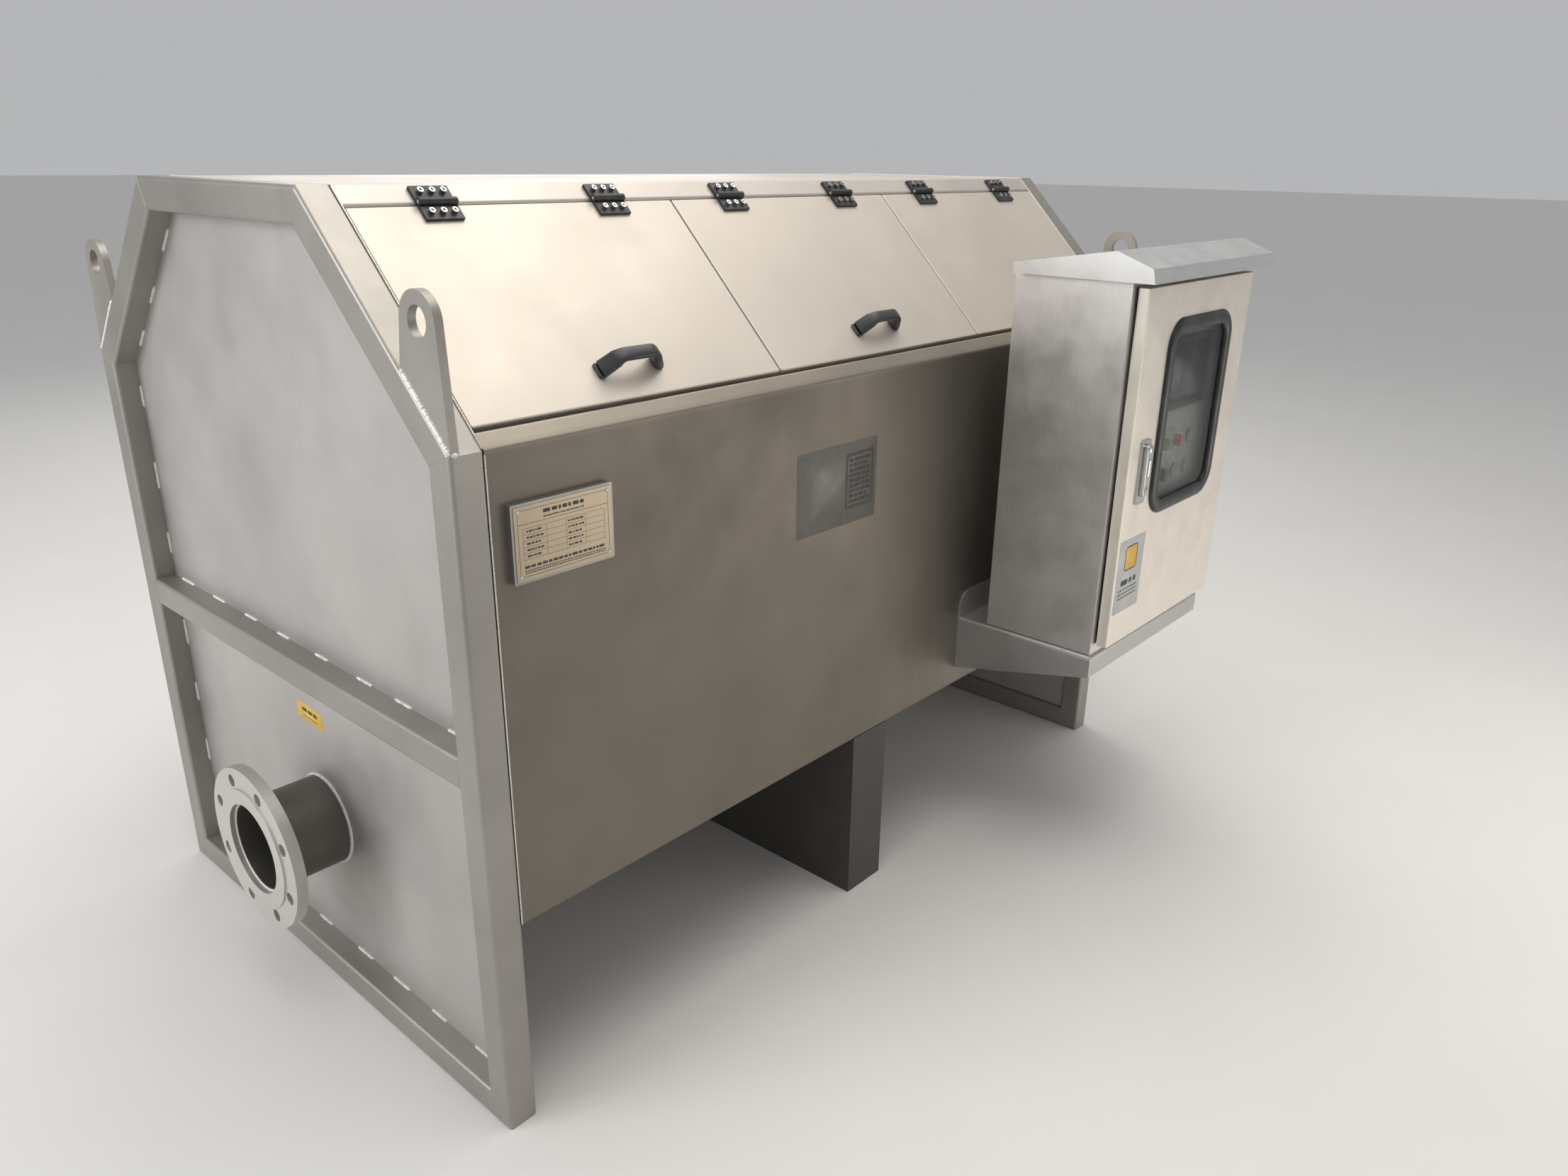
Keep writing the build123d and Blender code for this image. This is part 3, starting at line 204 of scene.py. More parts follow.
def swept(path, across, half_width, half_depth, power, count=20):
    """Bar along a path: a rounded-square section, wide along `across`, deep square to the path.

    The section is a superellipse: cosine and sine raised to two over the power, signs kept.
    """
    along = np.gradient(path, axis=0)
    along /= np.linalg.norm(along, axis=1)[:, None]
    out = np.cross(across, along)
    angle = np.linspace(0, TURN, count, endpoint=False)
    u = np.sign(np.cos(angle)) * np.abs(np.cos(angle)) ** (2 / power)
    v = np.sign(np.sin(angle)) * np.abs(np.sin(angle)) ** (2 / power)
    wide = np.broadcast_to(half_width, len(path))[:, None, None]
    deep = np.broadcast_to(half_depth, len(path))[:, None, None]
    return capped(path[:, None] + wide * u[None, :, None] * across + deep * v[None, :, None] * out[:, None])


def piece(name, body, material, shapes, smooth=40):
    """One object from several closed surfaces, riding on a body; edges over `smooth` degrees stay sharp."""
    points, faces, start = [], [], 0
    for shape_points, shape_faces in shapes:
        points.append(np.asarray(shape_points, float))
        faces += [tuple(int(v) + start for v in face) for face in shape_faces]
        start += len(shape_points)
    mesh = bpy.data.meshes.new(name)
    mesh.from_pydata(np.concatenate(points).tolist(), [], faces)
    mesh.validate()
    obj = bpy.data.objects.new(name, mesh)
    bpy.context.collection.objects.link(obj)
    bpy.context.view_layer.objects.active = obj
    obj.select_set(True)
    bpy.ops.object.mode_set(mode="EDIT")
    bpy.ops.mesh.select_all(action="SELECT")
    bpy.ops.mesh.normals_make_consistent(inside=False)
    bpy.ops.object.mode_set(mode="OBJECT")
    mesh.shade_smooth()
    mesh.set_sharp_from_angle(angle=math.radians(smooth))
    obj.select_set(False)
    mesh.materials.append(material)
    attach(obj, body)
    return obj


# ---------------------------------------------------------------- materials
class Finish:
    """A material under construction: its nodes read Object coordinates."""

    def __init__(self, name):
        self.material = bpy.data.materials.new(name)
        self.material.use_nodes = True
        self.tree = self.material.node_tree
        self.shader = self.tree.nodes["Principled BSDF"]
        self.place = self.tree.nodes.new("ShaderNodeTexCoord").outputs["Object"]

    def link(self, a, b):
        self.tree.links.new(a, b)

    def stretched(self, scale):
        """Object coordinates, scaled apart along each axis."""
        node = self.tree.nodes.new("ShaderNodeMapping")
        self.link(self.place, node.inputs["Vector"])
        node.inputs["Scale"].default_value = scale
        return node.outputs["Vector"]

    def noise(self, scale, detail=4.0, stretch=(1, 1, 1), rough=0.55):
        """Fractal noise over the stretched coordinates."""
        node = self.tree.nodes.new("ShaderNodeTexNoise")
        self.link(self.stretched(stretch), node.inputs["Vector"])
        node.inputs["Scale"].default_value = scale
        node.inputs["Detail"].default_value = detail
        node.inputs["Roughness"].default_value = rough
        return node.outputs["Fac"]

    def ramp(self, value, stops):
        """Colour that runs through (position, colour) stops as the value grows."""
        node = self.tree.nodes.new("ShaderNodeValToRGB")
        self.link(value, node.inputs["Fac"])
        line = node.color_ramp
        while len(line.elements) < len(stops):
            line.elements.new(0.5)
        for element, (at, colour) in zip(line.elements, stops):
            element.position = at
            element.color = (*colour, 1.0)
        return node.outputs["Color"]

    def multiplied(self, colour, by, factor):
        """Colour multiplied by another, as far as the factor says."""
        node = self.tree.nodes.new("ShaderNodeMix")
        node.data_type = "RGBA"
        node.blend_type = "MULTIPLY"
        node.inputs["Factor"].default_value = factor
        self.link(colour, node.inputs[6])
        self.link(by, node.inputs[7])
        return node.outputs[2]

    def span(self, value, low, high, to_low, to_high):
        """Value carried in a straight line from one range to another."""
        node = self.tree.nodes.new("ShaderNodeMapRange")
        self.link(value, node.inputs["Value"])
        for name, number in zip(("From Min", "From Max", "To Min", "To Max"), (low, high, to_low, to_high)):
            node.inputs[name].default_value = number
        return node.outputs["Result"]

    def along(self, axis):
        """One Object coordinate."""
        node = self.tree.nodes.new("ShaderNodeSeparateXYZ")
        self.link(self.place, node.inputs["Vector"])
        return node.outputs[axis]

    def bump(self, height, strength, distance, under=None):
        """Surface relief from a height, on top of another relief if one is given."""
        node = self.tree.nodes.new("ShaderNodeBump")
        node.inputs["Strength"].default_value = strength
        node.inputs["Distance"].default_value = distance
        self.link(height, node.inputs["Height"])
        if under is not None:
            self.link(under, node.inputs["Normal"])
        return node.outputs["Normal"]

    def done(self, colour, roughness, metallic=0.0, normal=None, **fixed):
        """Sets or links the shader's sockets; `fixed` names sockets with one value all over."""
        shader = self.shader
        for name, value in (("Base Color", colour), ("Roughness", roughness)):
            if isinstance(value, bpy.types.NodeSocket):
                self.link(value, shader.inputs[name])
            elif isinstance(value, tuple):
                shader.inputs[name].default_value = (*value, 1.0)
            else:
                shader.inputs[name].default_value = value
        shader.inputs["Metallic"].default_value = metallic
        if normal is not None:
            self.link(normal, shader.inputs["Normal"])
        for name, value in fixed.items():
            shader.inputs[name.replace("_", " ")].default_value = value
        return self.material


def shade(colour, factor):
    """Colour times a factor, kept at or under one."""
    return tuple(min(c * factor, 1.0) for c in colour)


def blasted_steel(name, colour, rough=0.5, metallic=0.75, spots=0.5, drift=0.12, upright=False):
    """Glass-bead blasted stainless: cloudy tone, faint handling marks, a fine satin grain.

    With `upright`, painted shade makes the faces under the shoulder darker than the slopes above it, a little less
    dark towards the foot.
    """
    f = Finish(name)
    clouds = f.noise(2.3, 5.0)
    tone = f.ramp(clouds, [(0.35, shade(colour, 1 - drift)), (0.65, shade(colour, 1 + drift))])
    # Painted shade: the long walls under the shoulder are darkened against the lit slopes above them.
    if upright:
        rise = f.span(f.along("Z"), WALL_FOOT, RIDGE, 0.0, 1.0)
        turn = (SHOULDER - WALL_FOOT) / (RIDGE - WALL_FOOT)
        greys = [(0.0, (0.62,) * 3), (turn - 0.006, (0.56,) * 3), (turn + 0.006, (1.0,) * 3)]
        tone = f.multiplied(tone, f.ramp(rise, greys), 1.0)
    smears = f.ramp(f.noise(5.0, 6.0, (1, 1, 0.35), 0.7), [(0.56, (1, 1, 1)), (0.72, (0.86, 0.85, 0.84))])
    tone = f.multiplied(tone, smears, spots)
    scuffs = f.ramp(f.noise(38.0, 3.0, (1, 1, 2.5), 0.8), [(0.68, (1, 1, 1)), (0.78, (0.8, 0.79, 0.77))])
    tone = f.multiplied(tone, scuffs, spots * 0.6)
    fine = f.noise(1400.0, 2.0)
    tone = f.multiplied(tone, f.ramp(fine, [(0.3, (0.95, 0.95, 0.95)), (0.7, (1, 1, 1))]), 1.0)
    gloss = f.span(f.noise(7.0, 4.0), 0.3, 0.7, rough - 0.06, rough + 0.07)
    sheet = f.bump(f.noise(3.0, 2.0), 0.18, 0.004)
    return f.done(tone, gloss, metallic, f.bump(fine, 0.12, 0.0002, sheet))


def ground_steel(name, colour, grain=(1, 1, 0.02), rough=0.34, metallic=0.85, smudge=0.5):
    """Ground stainless: long fine scratches along one axis, a few finger marks."""
    f = Finish(name)
    lines = f.noise(900.0, 3.0, grain, 0.7)
    tone = f.ramp(lines, [(0.25, shade(colour, 0.86)), (0.75, shade(colour, 1.1))])
    marks = f.ramp(f.noise(9.0, 6.0, (1, 1, 0.6), 0.75), [(0.58, (1, 1, 1)), (0.75, (0.78, 0.76, 0.73))])
    tone = f.multiplied(tone, marks, smudge)
    clouds = f.ramp(f.noise(1.7, 3.0), [(0.3, (0.92, 0.92, 0.92)), (0.7, (1, 1, 1))])
    tone = f.multiplied(tone, clouds, 1.0)
    gloss = f.span(f.noise(14.0, 5.0), 0.3, 0.7, rough - 0.05, rough + 0.09)
    return f.done(tone, gloss, metallic, f.bump(lines, 0.1, 0.0003))


def moulded(name, colour, rough=0.45, grain=900.0, depth=0.25, coat=0.0):
    """Moulded or painted surface: spark-eroded texture with slight dusting."""
    f = Finish(name)
    dust = f.ramp(f.noise(30.0, 5.0), [(0.45, colour), (0.85, tuple(c * 0.85 + 0.03 for c in colour))])
    gloss = f.span(f.noise(18.0, 4.0), 0.3, 0.7, rough - 0.06, rough + 0.08)
    return f.done(dust, gloss, 0.0, f.bump(f.noise(grain, 2.0), depth, 0.0002), Coat_Weight=coat)


def weld_metal():
    """Brushed weld: pale, rough at the scale of its ripples."""
    f = Finish("weld_metal")
    tone = f.ramp(f.noise(260.0, 4.0), [(0.3, (0.62, 0.61, 0.58)), (0.7, (0.92, 0.9, 0.87))])
    return f.done(tone, f.span(f.noise(120.0), 0.3, 0.7, 0.35, 0.6), 0.3, f.bump(f.noise(700.0), 0.3, 0.0004))


def woven_mesh():
    """Filter cloth of fine wire: two crossed sets of wires as wave bands round and along the drum."""
    f = Finish("woven_mesh")
    wires = []
    for axis in ("X", "Z"):
        wave = f.tree.nodes.new("ShaderNodeTexWave")
        wave.bands_direction = axis
        wave.inputs["Scale"].default_value = 160.0
        wave.inputs["Distortion"].default_value = 0.0
        f.link(f.place, wave.inputs["Vector"])
        wires.append(wave.outputs["Fac"])
    crossed = f.tree.nodes.new("ShaderNodeMath")
    crossed.operation = "MAXIMUM"
    f.link(wires[0], crossed.inputs[0])
    f.link(wires[1], crossed.inputs[1])
    weave = crossed.outputs["Value"]
    tone = f.ramp(weave, [(0.35, (0.03, 0.032, 0.033)), (0.8, (0.5, 0.51, 0.5))])
    stain = f.ramp(f.noise(6.0, 5.0), [(0.4, (0.75, 0.72, 0.66)), (0.7, (1, 1, 1))])
    tone = f.multiplied(tone, stain, 0.7)
    return f.done(tone, f.span(f.noise(40.0), 0.3, 0.7, 0.38, 0.52), 0.7, f.bump(weave, 0.5, 0.0006))


def clear_pane():
    """Clear plastic window with a faint haze from wiping."""
    f = Finish("clear_pane")
    film = f.span(f.noise(22.0, 5.0), 0.35, 0.75, 0.02, 0.1)
    return f.done((0.86, 0.9, 0.9), film, 0.0, Transmission_Weight=1.0, IOR=1.49, Alpha=0.45)


def clear_film():
    """Thin greyish film that lets the steel under it show."""
    f = Finish("clear_film")
    tone = f.ramp(f.noise(60.0, 4.0), [(0.4, (0.33, 0.325, 0.3)), (0.7, (0.42, 0.41, 0.385))])
    return f.done(tone, f.span(f.noise(25.0), 0.3, 0.7, 0.22, 0.4), 0.2, Alpha=0.36)


def printed(name, colour, rough=0.4, fade=0.12):
    """Printed label stock: nearly even ink with slight fading and dirt."""
    f = Finish(name)
    tone = f.ramp(f.noise(35.0, 5.0), [(0.35, shade(colour, 1 - fade)), (0.75, colour)])
    return f.done(tone, f.span(f.noise(50.0), 0.3, 0.7, rough - 0.05, rough + 0.08))


def display_face():
    """Dark display: slightly uneven glow of the unlit panel under a hard gloss."""
    f = Finish("display_face")
    tone = f.ramp(f.noise(9.0, 3.0), [(0.3, (0.01, 0.014, 0.018)), (0.7, (0.03, 0.04, 0.05))])
    return f.done(tone, f.span(f.noise(30.0), 0.3, 0.7, 0.07, 0.16), 0.0, Coat_Weight=0.6)


def paving():
    """Plain pale floor with a barely uneven tone."""
    f = Finish("pale_floor")
    tone = f.ramp(f.noise(3.0, 5.0), [(0.3, (0.745, 0.735, 0.715)), (0.7, (0.765, 0.755, 0.735))])
    return f.done(tone, 0.7)


FINISHES = {
    "frame_steel": blasted_steel("frame_steel", (0.35, 0.333, 0.305), 0.46, 0.7, 0.6),
    "panel_steel": blasted_steel("panel_steel", (0.5, 0.482, 0.464), 0.5, 0.7, 0.5, 0.1),
    # The True paints shade on the long walls under the shoulder.
    "shell_steel": blasted_steel("shell_steel", (0.33, 0.293, 0.245), 0.5, 0.75, 0.8, 0.1, True),
    "top_steel": blasted_steel("top_steel", (0.55, 0.51, 0.47), 0.48, 0.6, 0.3, 0.06),
    "cover_steel": blasted_steel("cover_steel", (0.61, 0.555, 0.49), 0.46, 0.45, 0.25, 0.04),
    "seat_steel": blasted_steel("seat_steel", (0.3, 0.29, 0.28), 0.5),
    "seal_rubber": moulded("seal_rubber", (0.014, 0.015, 0.017), 0.38, 500.0, 0.15),
    "pipe_steel": blasted_steel("pipe_steel", (0.6, 0.585, 0.545), 0.42, 0.75, 0.5),
    "inner_steel": ground_steel("inner_steel", (0.46, 0.46, 0.45)),
    "screen_mesh": woven_mesh(),
    "shaft_steel": ground_steel("shaft_steel", (0.5, 0.5, 0.5), (0.02, 1, 1), 0.28),
    "bearing_iron": moulded("bearing_iron", (0.1, 0.115, 0.13), 0.5, 220.0, 0.5),
    "motor_paint": moulded("motor_paint", (0.055, 0.13, 0.2), 0.36, 260.0, 0.3, 0.3),
    "hinge_black": moulded("hinge_black", (0.018, 0.018, 0.019), 0.42, 800.0, 0.3),
    "screw_steel": ground_steel("screw_steel", (0.62, 0.62, 0.61), (1, 1, 1), 0.22, 1.0, 0.1),
    "handle_plastic": moulded("handle_plastic", (0.03, 0.031, 0.033), 0.36, 1000.0, 0.3),
    "cabinet_steel": ground_steel("cabinet_steel", (0.68, 0.665, 0.64), (1, 1, 0.02), 0.36, 0.85, 0.4),
    # The door's base colour is brighter and warmer than the cabinet body's: partly its own brushed tone, partly a
    # painted reflection of the pale floor.
    "door_steel": ground_steel("door_steel", (0.86, 0.8, 0.71), (1, 1, 0.02), 0.34, 0.5, 0.6),
    "roof_steel": ground_steel("roof_steel", (0.66, 0.66, 0.65), (0.02, 1, 1), 0.32, 0.8, 0.3),
    "shelf_steel": ground_steel("shelf_steel", (0.5, 0.495, 0.485), (0.03, 1, 1), 0.38, 0.8, 0.3),
    "latch_chrome": ground_steel("latch_chrome", (0.6, 0.6, 0.59), (1, 1, 0.05), 0.2, 1.0, 0.2),
    "window_clear": clear_pane(),
    "nameplate_metal": blasted_steel("nameplate_metal", (0.45, 0.37, 0.265), 0.34, 0.5, 0.3, 0.05),
    "holder_steel": ground_steel("holder_steel", (0.34, 0.33, 0.32), (0.03, 1, 1), 0.38),
    "gland_plastic": moulded("gland_plastic", (0.2, 0.205, 0.21), 0.5),
    "device_plastic": moulded("device_plastic", (0.42, 0.42, 0.4), 0.5, 700.0, 0.15),
    "control_panel": ground_steel("control_panel", (0.36, 0.36, 0.35), (1, 1, 0.02), 0.4, 0.6, 0.2),
    "screen_glass": moulded("screen_bezel", (0.03, 0.033, 0.036), 0.3, 900.0, 0.1),
    "start_green": moulded("start_green", (0.02, 0.3, 0.06), 0.24, 900.0, 0.05, 0.4),
    "stop_red": moulded("stop_red", (0.5, 0.02, 0.012), 0.24, 900.0, 0.05, 0.4),
    "switch_black": moulded("switch_black", (0.02, 0.02, 0.021), 0.4),
}
# Darker stand-ins for the slot finishes of two parts, used in their place below.
SHADED = {
    # The middle leg's dark steel is painted shade, standing for the shadow under the tank.
    "middle_leg": blasted_steel("leg_painted_shade", (0.085, 0.08, 0.074), 0.6, 0.3, 0.5),
    # The outlet pipe's dark steel is partly its own darker tone and partly painted shade.
    "outlet_pipe": blasted_steel("dark_pipe_and_painted_shade", (0.16, 0.15, 0.132), 0.42, 0.75, 0.6),
}
WELD = weld_metal()
INK = printed("dark_ink", (0.05, 0.045, 0.04), 0.5)
YELLOW = printed("yellow_label", (0.8, 0.5, 0.04), 0.35)
PALE = printed("pale_label", (0.56, 0.57, 0.56), 0.42)
CREAM = printed("cream_tag", (0.7, 0.68, 0.62), 0.5)
FILM = clear_film()
DISPLAY = display_face()

slots = {entry["node"]: entry["material_slot"] for entry in frame["record"]["subparts"]}
for node, obj in frame["nodes"].items():
    finish = SHADED.get(node, FINISHES[slots[node]])
    if obj.data.materials:
        for index in range(len(obj.data.materials)):
            obj.data.materials[index] = finish
    else:
        obj.data.materials.append(finish)


# ---------------------------------------------------------------- welds
RIPPLE = 5 * MM                 # ripple length of the long beads
STITCH = 48 * MM
STITCH_SPACING = 122 * MM
STITCH_RADIUS = 2.6 * MM
PULL_IN = 0.002                 # share by which stitches lean towards their opening's middle
SEAM_RADIUS = 1.1 * MM
SEAM_DEPTH = 0.35 * MM          # seam's middle under the sheet's face
LUG_BEAD = 3.2 * MM
LUG_FOOT = 132 * MM             # welded length up the slope
MITRE_RADIUS = 0.9 * MM
SHOULDER_MITRE = ((547, 1050), (502, 1031))     # outer and inner corner, as Y and Z in mm
RIDGE_MITRE = ((250, 1347), (230, 1302))


def stitches(start, end, length, spacing, radius, seed):
    """Short weld beads, evenly spaced from start to end, each shifted and sized a little by chance."""
    start, end = np.array(start, float), np.array(end, float)
    total = np.linalg.norm(end - start)
    count = max(int(round(total / spacing)), 1)
    along = (end - start) / total
    dice = np.random.default_rng(seed)
    found = []
    for i in range(count):
        middle = (i + 0.5) * total / count + dice.uniform(-0.08, 0.08) * spacing
        reach = length * dice.uniform(0.42, 0.56)
        first = start + (middle - reach) * along
        last = start + (middle + reach) * along
        found.append(bead(first, last, radius, seed + i))
    return found


def frame_window(end, lower):
    """Corners of one opening inside an end frame, as Y and Z, in order.

    The upper opening is the frame's outline moved in by one tube: at a 45 degree bend its upright
    and flat sides end sooner, by the tube's width times the tangent of 22.5 degrees.
    """
    panel_high = corners(f"{end}_end_panels")[1]
    y, top = panel_high[1:]
    if lower:
        rail_foot = RAIL_TOP - TUBE
        return [(-y, TUBE), (y, TUBE), (y, rail_foot), (-y, rail_foot)]
    ease = TUBE * math.tan(math.radians(22.5))
    flat = TOP_HALF - ease
    side = SHOULDER - ease
    return [(-y, RAIL_TOP), (y, RAIL_TOP), (y, side), (flat, top), (-flat, top), (-y, side)]


def panel_welds(end):
    """Stitches along the sides of both openings, where the end panels meet their frame."""
    low, high = corners(f"{end}_end_panels")
    x = low[0] if end == "left" else high[0]
    found = []
    for lower, first_seed in ((False, 3), (True, 7)):
        ring = frame_window(end, lower)
        middle = np.mean(ring, axis=0)
        for k, (a, b) in enumerate(zip(ring, ring[1:] + ring[:1])):
            a, b = (np.array(p) + (middle - p) * PULL_IN for p in (a, b))
            seed = 100 * k + first_seed
            found += stitches((x, *a), (x, *b), STITCH, STITCH_SPACING, STITCH_RADIUS, seed)
    return found


def seam_welds():
    """Ground seams where the walls, slopes and flat top meet the end frames: one bead along each."""
    low, high = corners("front_wall")
    lift = SEAM_DEPTH * HALF
    top = RIDGE - SEAM_DEPTH
    found = []
    for k, x in enumerate((low[0], high[0])):
        for sign in (-1, 1):
            wall = sign * (WALL_FACE - SEAM_DEPTH)
            foot, head = (x, wall, WALL_FOOT), (x, wall, SHOULDER - 4 * MM)
            found.append(bead(foot, head, SEAM_RADIUS, 900 + k, RIPPLE))
            foot = (x, wall - sign * 3 * MM, SHOULDER + 1 * MM)
            head = (x, sign * (TOP_HALF + lift), RIDGE - lift - 1 * MM)
            found.append(bead(foot, head, SEAM_RADIUS, 910 + k, RIPPLE))
        found.append(bead((x, -TOP_HALF, top), (x, TOP_HALF, top), SEAM_RADIUS, 920 + k, RIPPLE))
    return found


def belly_welds():
    """Stitches between the tank's bottom and the folded-in long walls, and down the middle leg."""
    reach, leg_reach, leg_z = 840 * MM, 140 * MM, 199 * MM
    low, high = corners("middle_leg")
    found = []
    for sign in (-1, 1):
        wall = sign * (WALL_FACE - 17 * MM)
        z = WALL_FOOT - 8 * MM
        seed = 1300 + sign
        found += stitches((-reach, wall, z), (reach, wall, z), 40 * MM, 150 * MM, 2.2 * MM, seed)
    for x in (low[0], high[0]):
        start, stop = (x, -leg_reach, leg_z), (x, leg_reach, leg_z)
        found += stitches(start, stop, 40 * MM, 90 * MM, 2.4 * MM, 1400)
    return found


def lug_welds():
    """Fillets along both sides of each lug's foot, and a thicker bead across each of its ends."""
    low, high = corners("lifting_lugs")
    found = []
    for x in (low[0], high[0] - LUG_THICKNESS):
        for sign in (-1, 1):
            start = np.array((0, sign * (WALL_FACE - 1 * MM), SHOULDER + 1.5 * MM))
            stop = start + LUG_FOOT * np.array((0, -sign * HALF, HALF))
            for side in (x, x + LUG_THICKNESS):
                shift = side * X_AXIS
                seed = 2000 + int(side * 1000) + sign
                found.append(bead(start + shift, stop + shift, LUG_BEAD, seed, RIPPLE))
            for tip in (start, stop):
                near, far = tip + x * X_AXIS, tip + (x + LUG_THICKNESS) * X_AXIS
                found.append(bead(near, far, LUG_BEAD * 1.3, 2100 + sign, RIPPLE))
    return found


def pipe_welds():
    """Ring beads round the pipes' roots, and inside and behind the slip-on flanges."""
    beads = []
    for sign, z in ((-1, OUTLET_HEIGHT), (1, INLET_HEIGHT)):
        beads.append((sign * PANEL_FACE, z, PIPE_RADIUS + 1 * MM, 3.4 * MM, 31))
        beads.append((sign * (FLANGE_FACE - 11 * MM), z, PIPE_RADIUS - 0.5 * MM, 2.6 * MM, 32))
        beads.append((sign * (FLANGE_FACE - FLANGE_THICKNESS), z, PIPE_RADIUS + 1 * MM, 3.0 * MM, 33))
    beads.append((PANEL_FACE, WASTE_HEIGHT, 31 * MM, 2.2 * MM, 34))
    beads.append((PANEL_FACE, SPRAY_HEIGHT, 17.6 * MM, 2.0 * MM, 35))
    return [ring_bead(np.array((x, 0, z)), X_AXIS, *sizes) for x, z, *sizes in beads]


def mitre_welds():
    """Ground mitres of the end frames: a low bead across each outer corner and at the rail's ends."""
    found = []
    for sign in (-1, 1):
        x = sign * (FRAME_FACE - 0.5 * MM)
        for k, side in enumerate((-1, 1)):
            for seed, mitre in ((50, SHOULDER_MITRE), (54, RIDGE_MITRE)):
                outer, inner = (np.array((x, side * y * MM, z * MM)) for y, z in mitre)
                found.append(bead(outer, inner, MITRE_RADIUS, seed + k, RIPPLE))
            for z, step in ((581 * MM, 1 * MM), (619 * MM, -1 * MM)):
                dot = np.array((x, side * 501 * MM, z))
                found.append(bead(dot, dot + step * Z_AXIS, MITRE_RADIUS, 58 + k, RIPPLE))
            foot = np.array((x, side * 500.5 * MM, 577 * MM))
            found.append(bead(foot, foot + 46 * MM * Z_AXIS, 1.0 * MM, 60 + k, RIPPLE))
    return found


for end in ("left", "right"):
    piece(f"{end}_panel_stitches", "housing", WELD, panel_welds(end))
piece("shell_seams", "housing", WELD, seam_welds())
piece("belly_stitches", "housing", WELD, belly_welds())
piece("lug_fillets", "housing", WELD, lug_welds())
piece("pipe_root_welds", "housing", WELD, pipe_welds())
piece("frame_mitre_welds", "housing", FINISHES["frame_steel"], mitre_welds())


# ---------------------------------------------------------------- labels and nameplate
PRINT = 0.08 * MM               # height of the nameplate's engraving
TAG = 0.2 * MM                  # thickness of the film and the door's tag


def flat_tag(at, across, up, width, height, corner, thickness):
    """Thin sheet with a rounded outline and a soft top edge."""
    layers = [(0, 0), (0, thickness * 0.6), (thickness * 0.5, thickness)]
    return layered(at, across, up, (width, height), corner, layers, 4)


def dashes(at, across, up, width, rows, height, pitch, seed, fill=0.85):
    """Rows of short bars of uneven length, each set after the last and a small gap: no letters."""
    dice = np.random.default_rng(seed)
    found = []
    for row in range(rows):
        x = -width / 2
        y = (rows / 2 - row - 0.5) * pitch
        while x < width / 2 * (2 * fill - 1):
            bar = min(dice.uniform(0.8, 2.6) * height, width / 2 - x)
            spot = at + (x + bar / 2) * across + y * up
            found.append(flat_tag(spot, across, up, bar, height, height * 0.2, 0.06 * MM))
            x += bar + height * dice.uniform(0.35, 0.6)
    return found


def nameplate_print():
    """Engraved border, ruled table and dashes on the nameplate."""
    low, high = corners("nameplate")
    middle = (low + high) / 2
    middle[1] = low[1]
    width, height = high[0] - low[0], high[2] - low[2]
    right, up = X_AXIS, Z_AXIS
    line, rim = 0.6 * MM, 5 * MM
    border = [(rim, 0), (rim, PRINT), (rim + line, PRINT), (rim + line, 0)]
    found = [looped(middle, right, up, (width, height), 6 * MM, border, 4)]

    heading = middle + up * (height / 2 - 12 * MM)
    second_heading = middle + up * (height / 2 - 19.5 * MM)
    rule = middle + up * (height / 2 - 24 * MM)
    found.append(flat_tag(rule, right, up, width - 2 * rim, line, line / 3, PRINT))
    found += dashes(heading, right, up, width * 0.42, 1, 5 * MM, 5 * MM, 5, 1.0)
    found += dashes(second_heading, right, up, width * 0.42, 1, 2 * MM, 3 * MM, 6, 1.0)

    rows, table_height, table_width = 5, 42 * MM, width - 5 * rim
    table = middle + up * (height / 2 - 30 * MM - table_height / 2)
    for i in range(rows + 1):
        spot = table + up * (table_height / 2 - i * table_height / rows)
        found.append(flat_tag(spot, right, up, table_width, line * 0.7, line / 4, PRINT))
    for share in (-0.5, -0.22, 0.02, 0.26, 0.5):
        spot = table + right * share * table_width
        found.append(flat_tag(spot, right, up, line * 0.7, table_height, line / 4, PRINT))
    pitch = table_height / rows
    for share, seed in ((-0.36, 11), (0.14, 12)):
        spot = table + right * share * table_width
        found += dashes(spot, right, up, table_width * 0.2, rows, 2.6 * MM, pitch, seed)

    foot = middle - up * (height / 2 - 14 * MM)
    found += dashes(foot + up * 4 * MM, right, up, table_width, 1, 3.6 * MM, 4 * MM, 14, 1.0)
    found += dashes(foot - up * 2.6 * MM, right, up, table_width, 2, 1.6 * MM, 3 * MM, 15, 1.0)
    return found


def nameplate_screws():
    """A domed screw in each corner: five turned steps that round off towards the middle."""
    low, high = corners("nameplate")
    inset, radius = 6 * MM, 2.7 * MM
    dome = [(0, 0), (0, 0.4 * MM), (0.5 * MM, 0.9 * MM), (1.4 * MM, 1.25 * MM), (2.2 * MM, 1.3 * MM)]
    spots = [(x, z) for x in (low[0] + inset, high[0] - inset) for z in (low[2] + inset, high[2] - inset)]
    return [disc(np.array((x, low[1], z)), -Y_AXIS, radius, dome, 16) for x, z in spots]


def end_label():
    """Small yellow tag on the outlet end's lower panel, set a little askew, and its marks."""
    panel_face = corners("left_end_panels")[0][0]
    at = np.array((panel_face, 11.5 * MM, 495 * MM))
    thickness = 0.25 * MM
    tilt = math.radians(-3)
    across = -Y_AXIS * math.cos(tilt) + Z_AXIS * math.sin(tilt)
    up = Z_AXIS * math.cos(tilt) + Y_AXIS * math.sin(tilt)
    sheet = flat_tag(at, across, up, 84 * MM, 32 * MM, 2 * MM, thickness)
    front = at - X_AXIS * thickness
    marks = dashes(front + up * 5 * MM, across, up, 50 * MM, 1, 7 * MM, 8 * MM, 21, 1.0)
    marks += dashes(front - up * 7 * MM, across, up, 46 * MM, 1, 2.6 * MM, 4 * MM, 22, 1.0)
    return sheet, marks


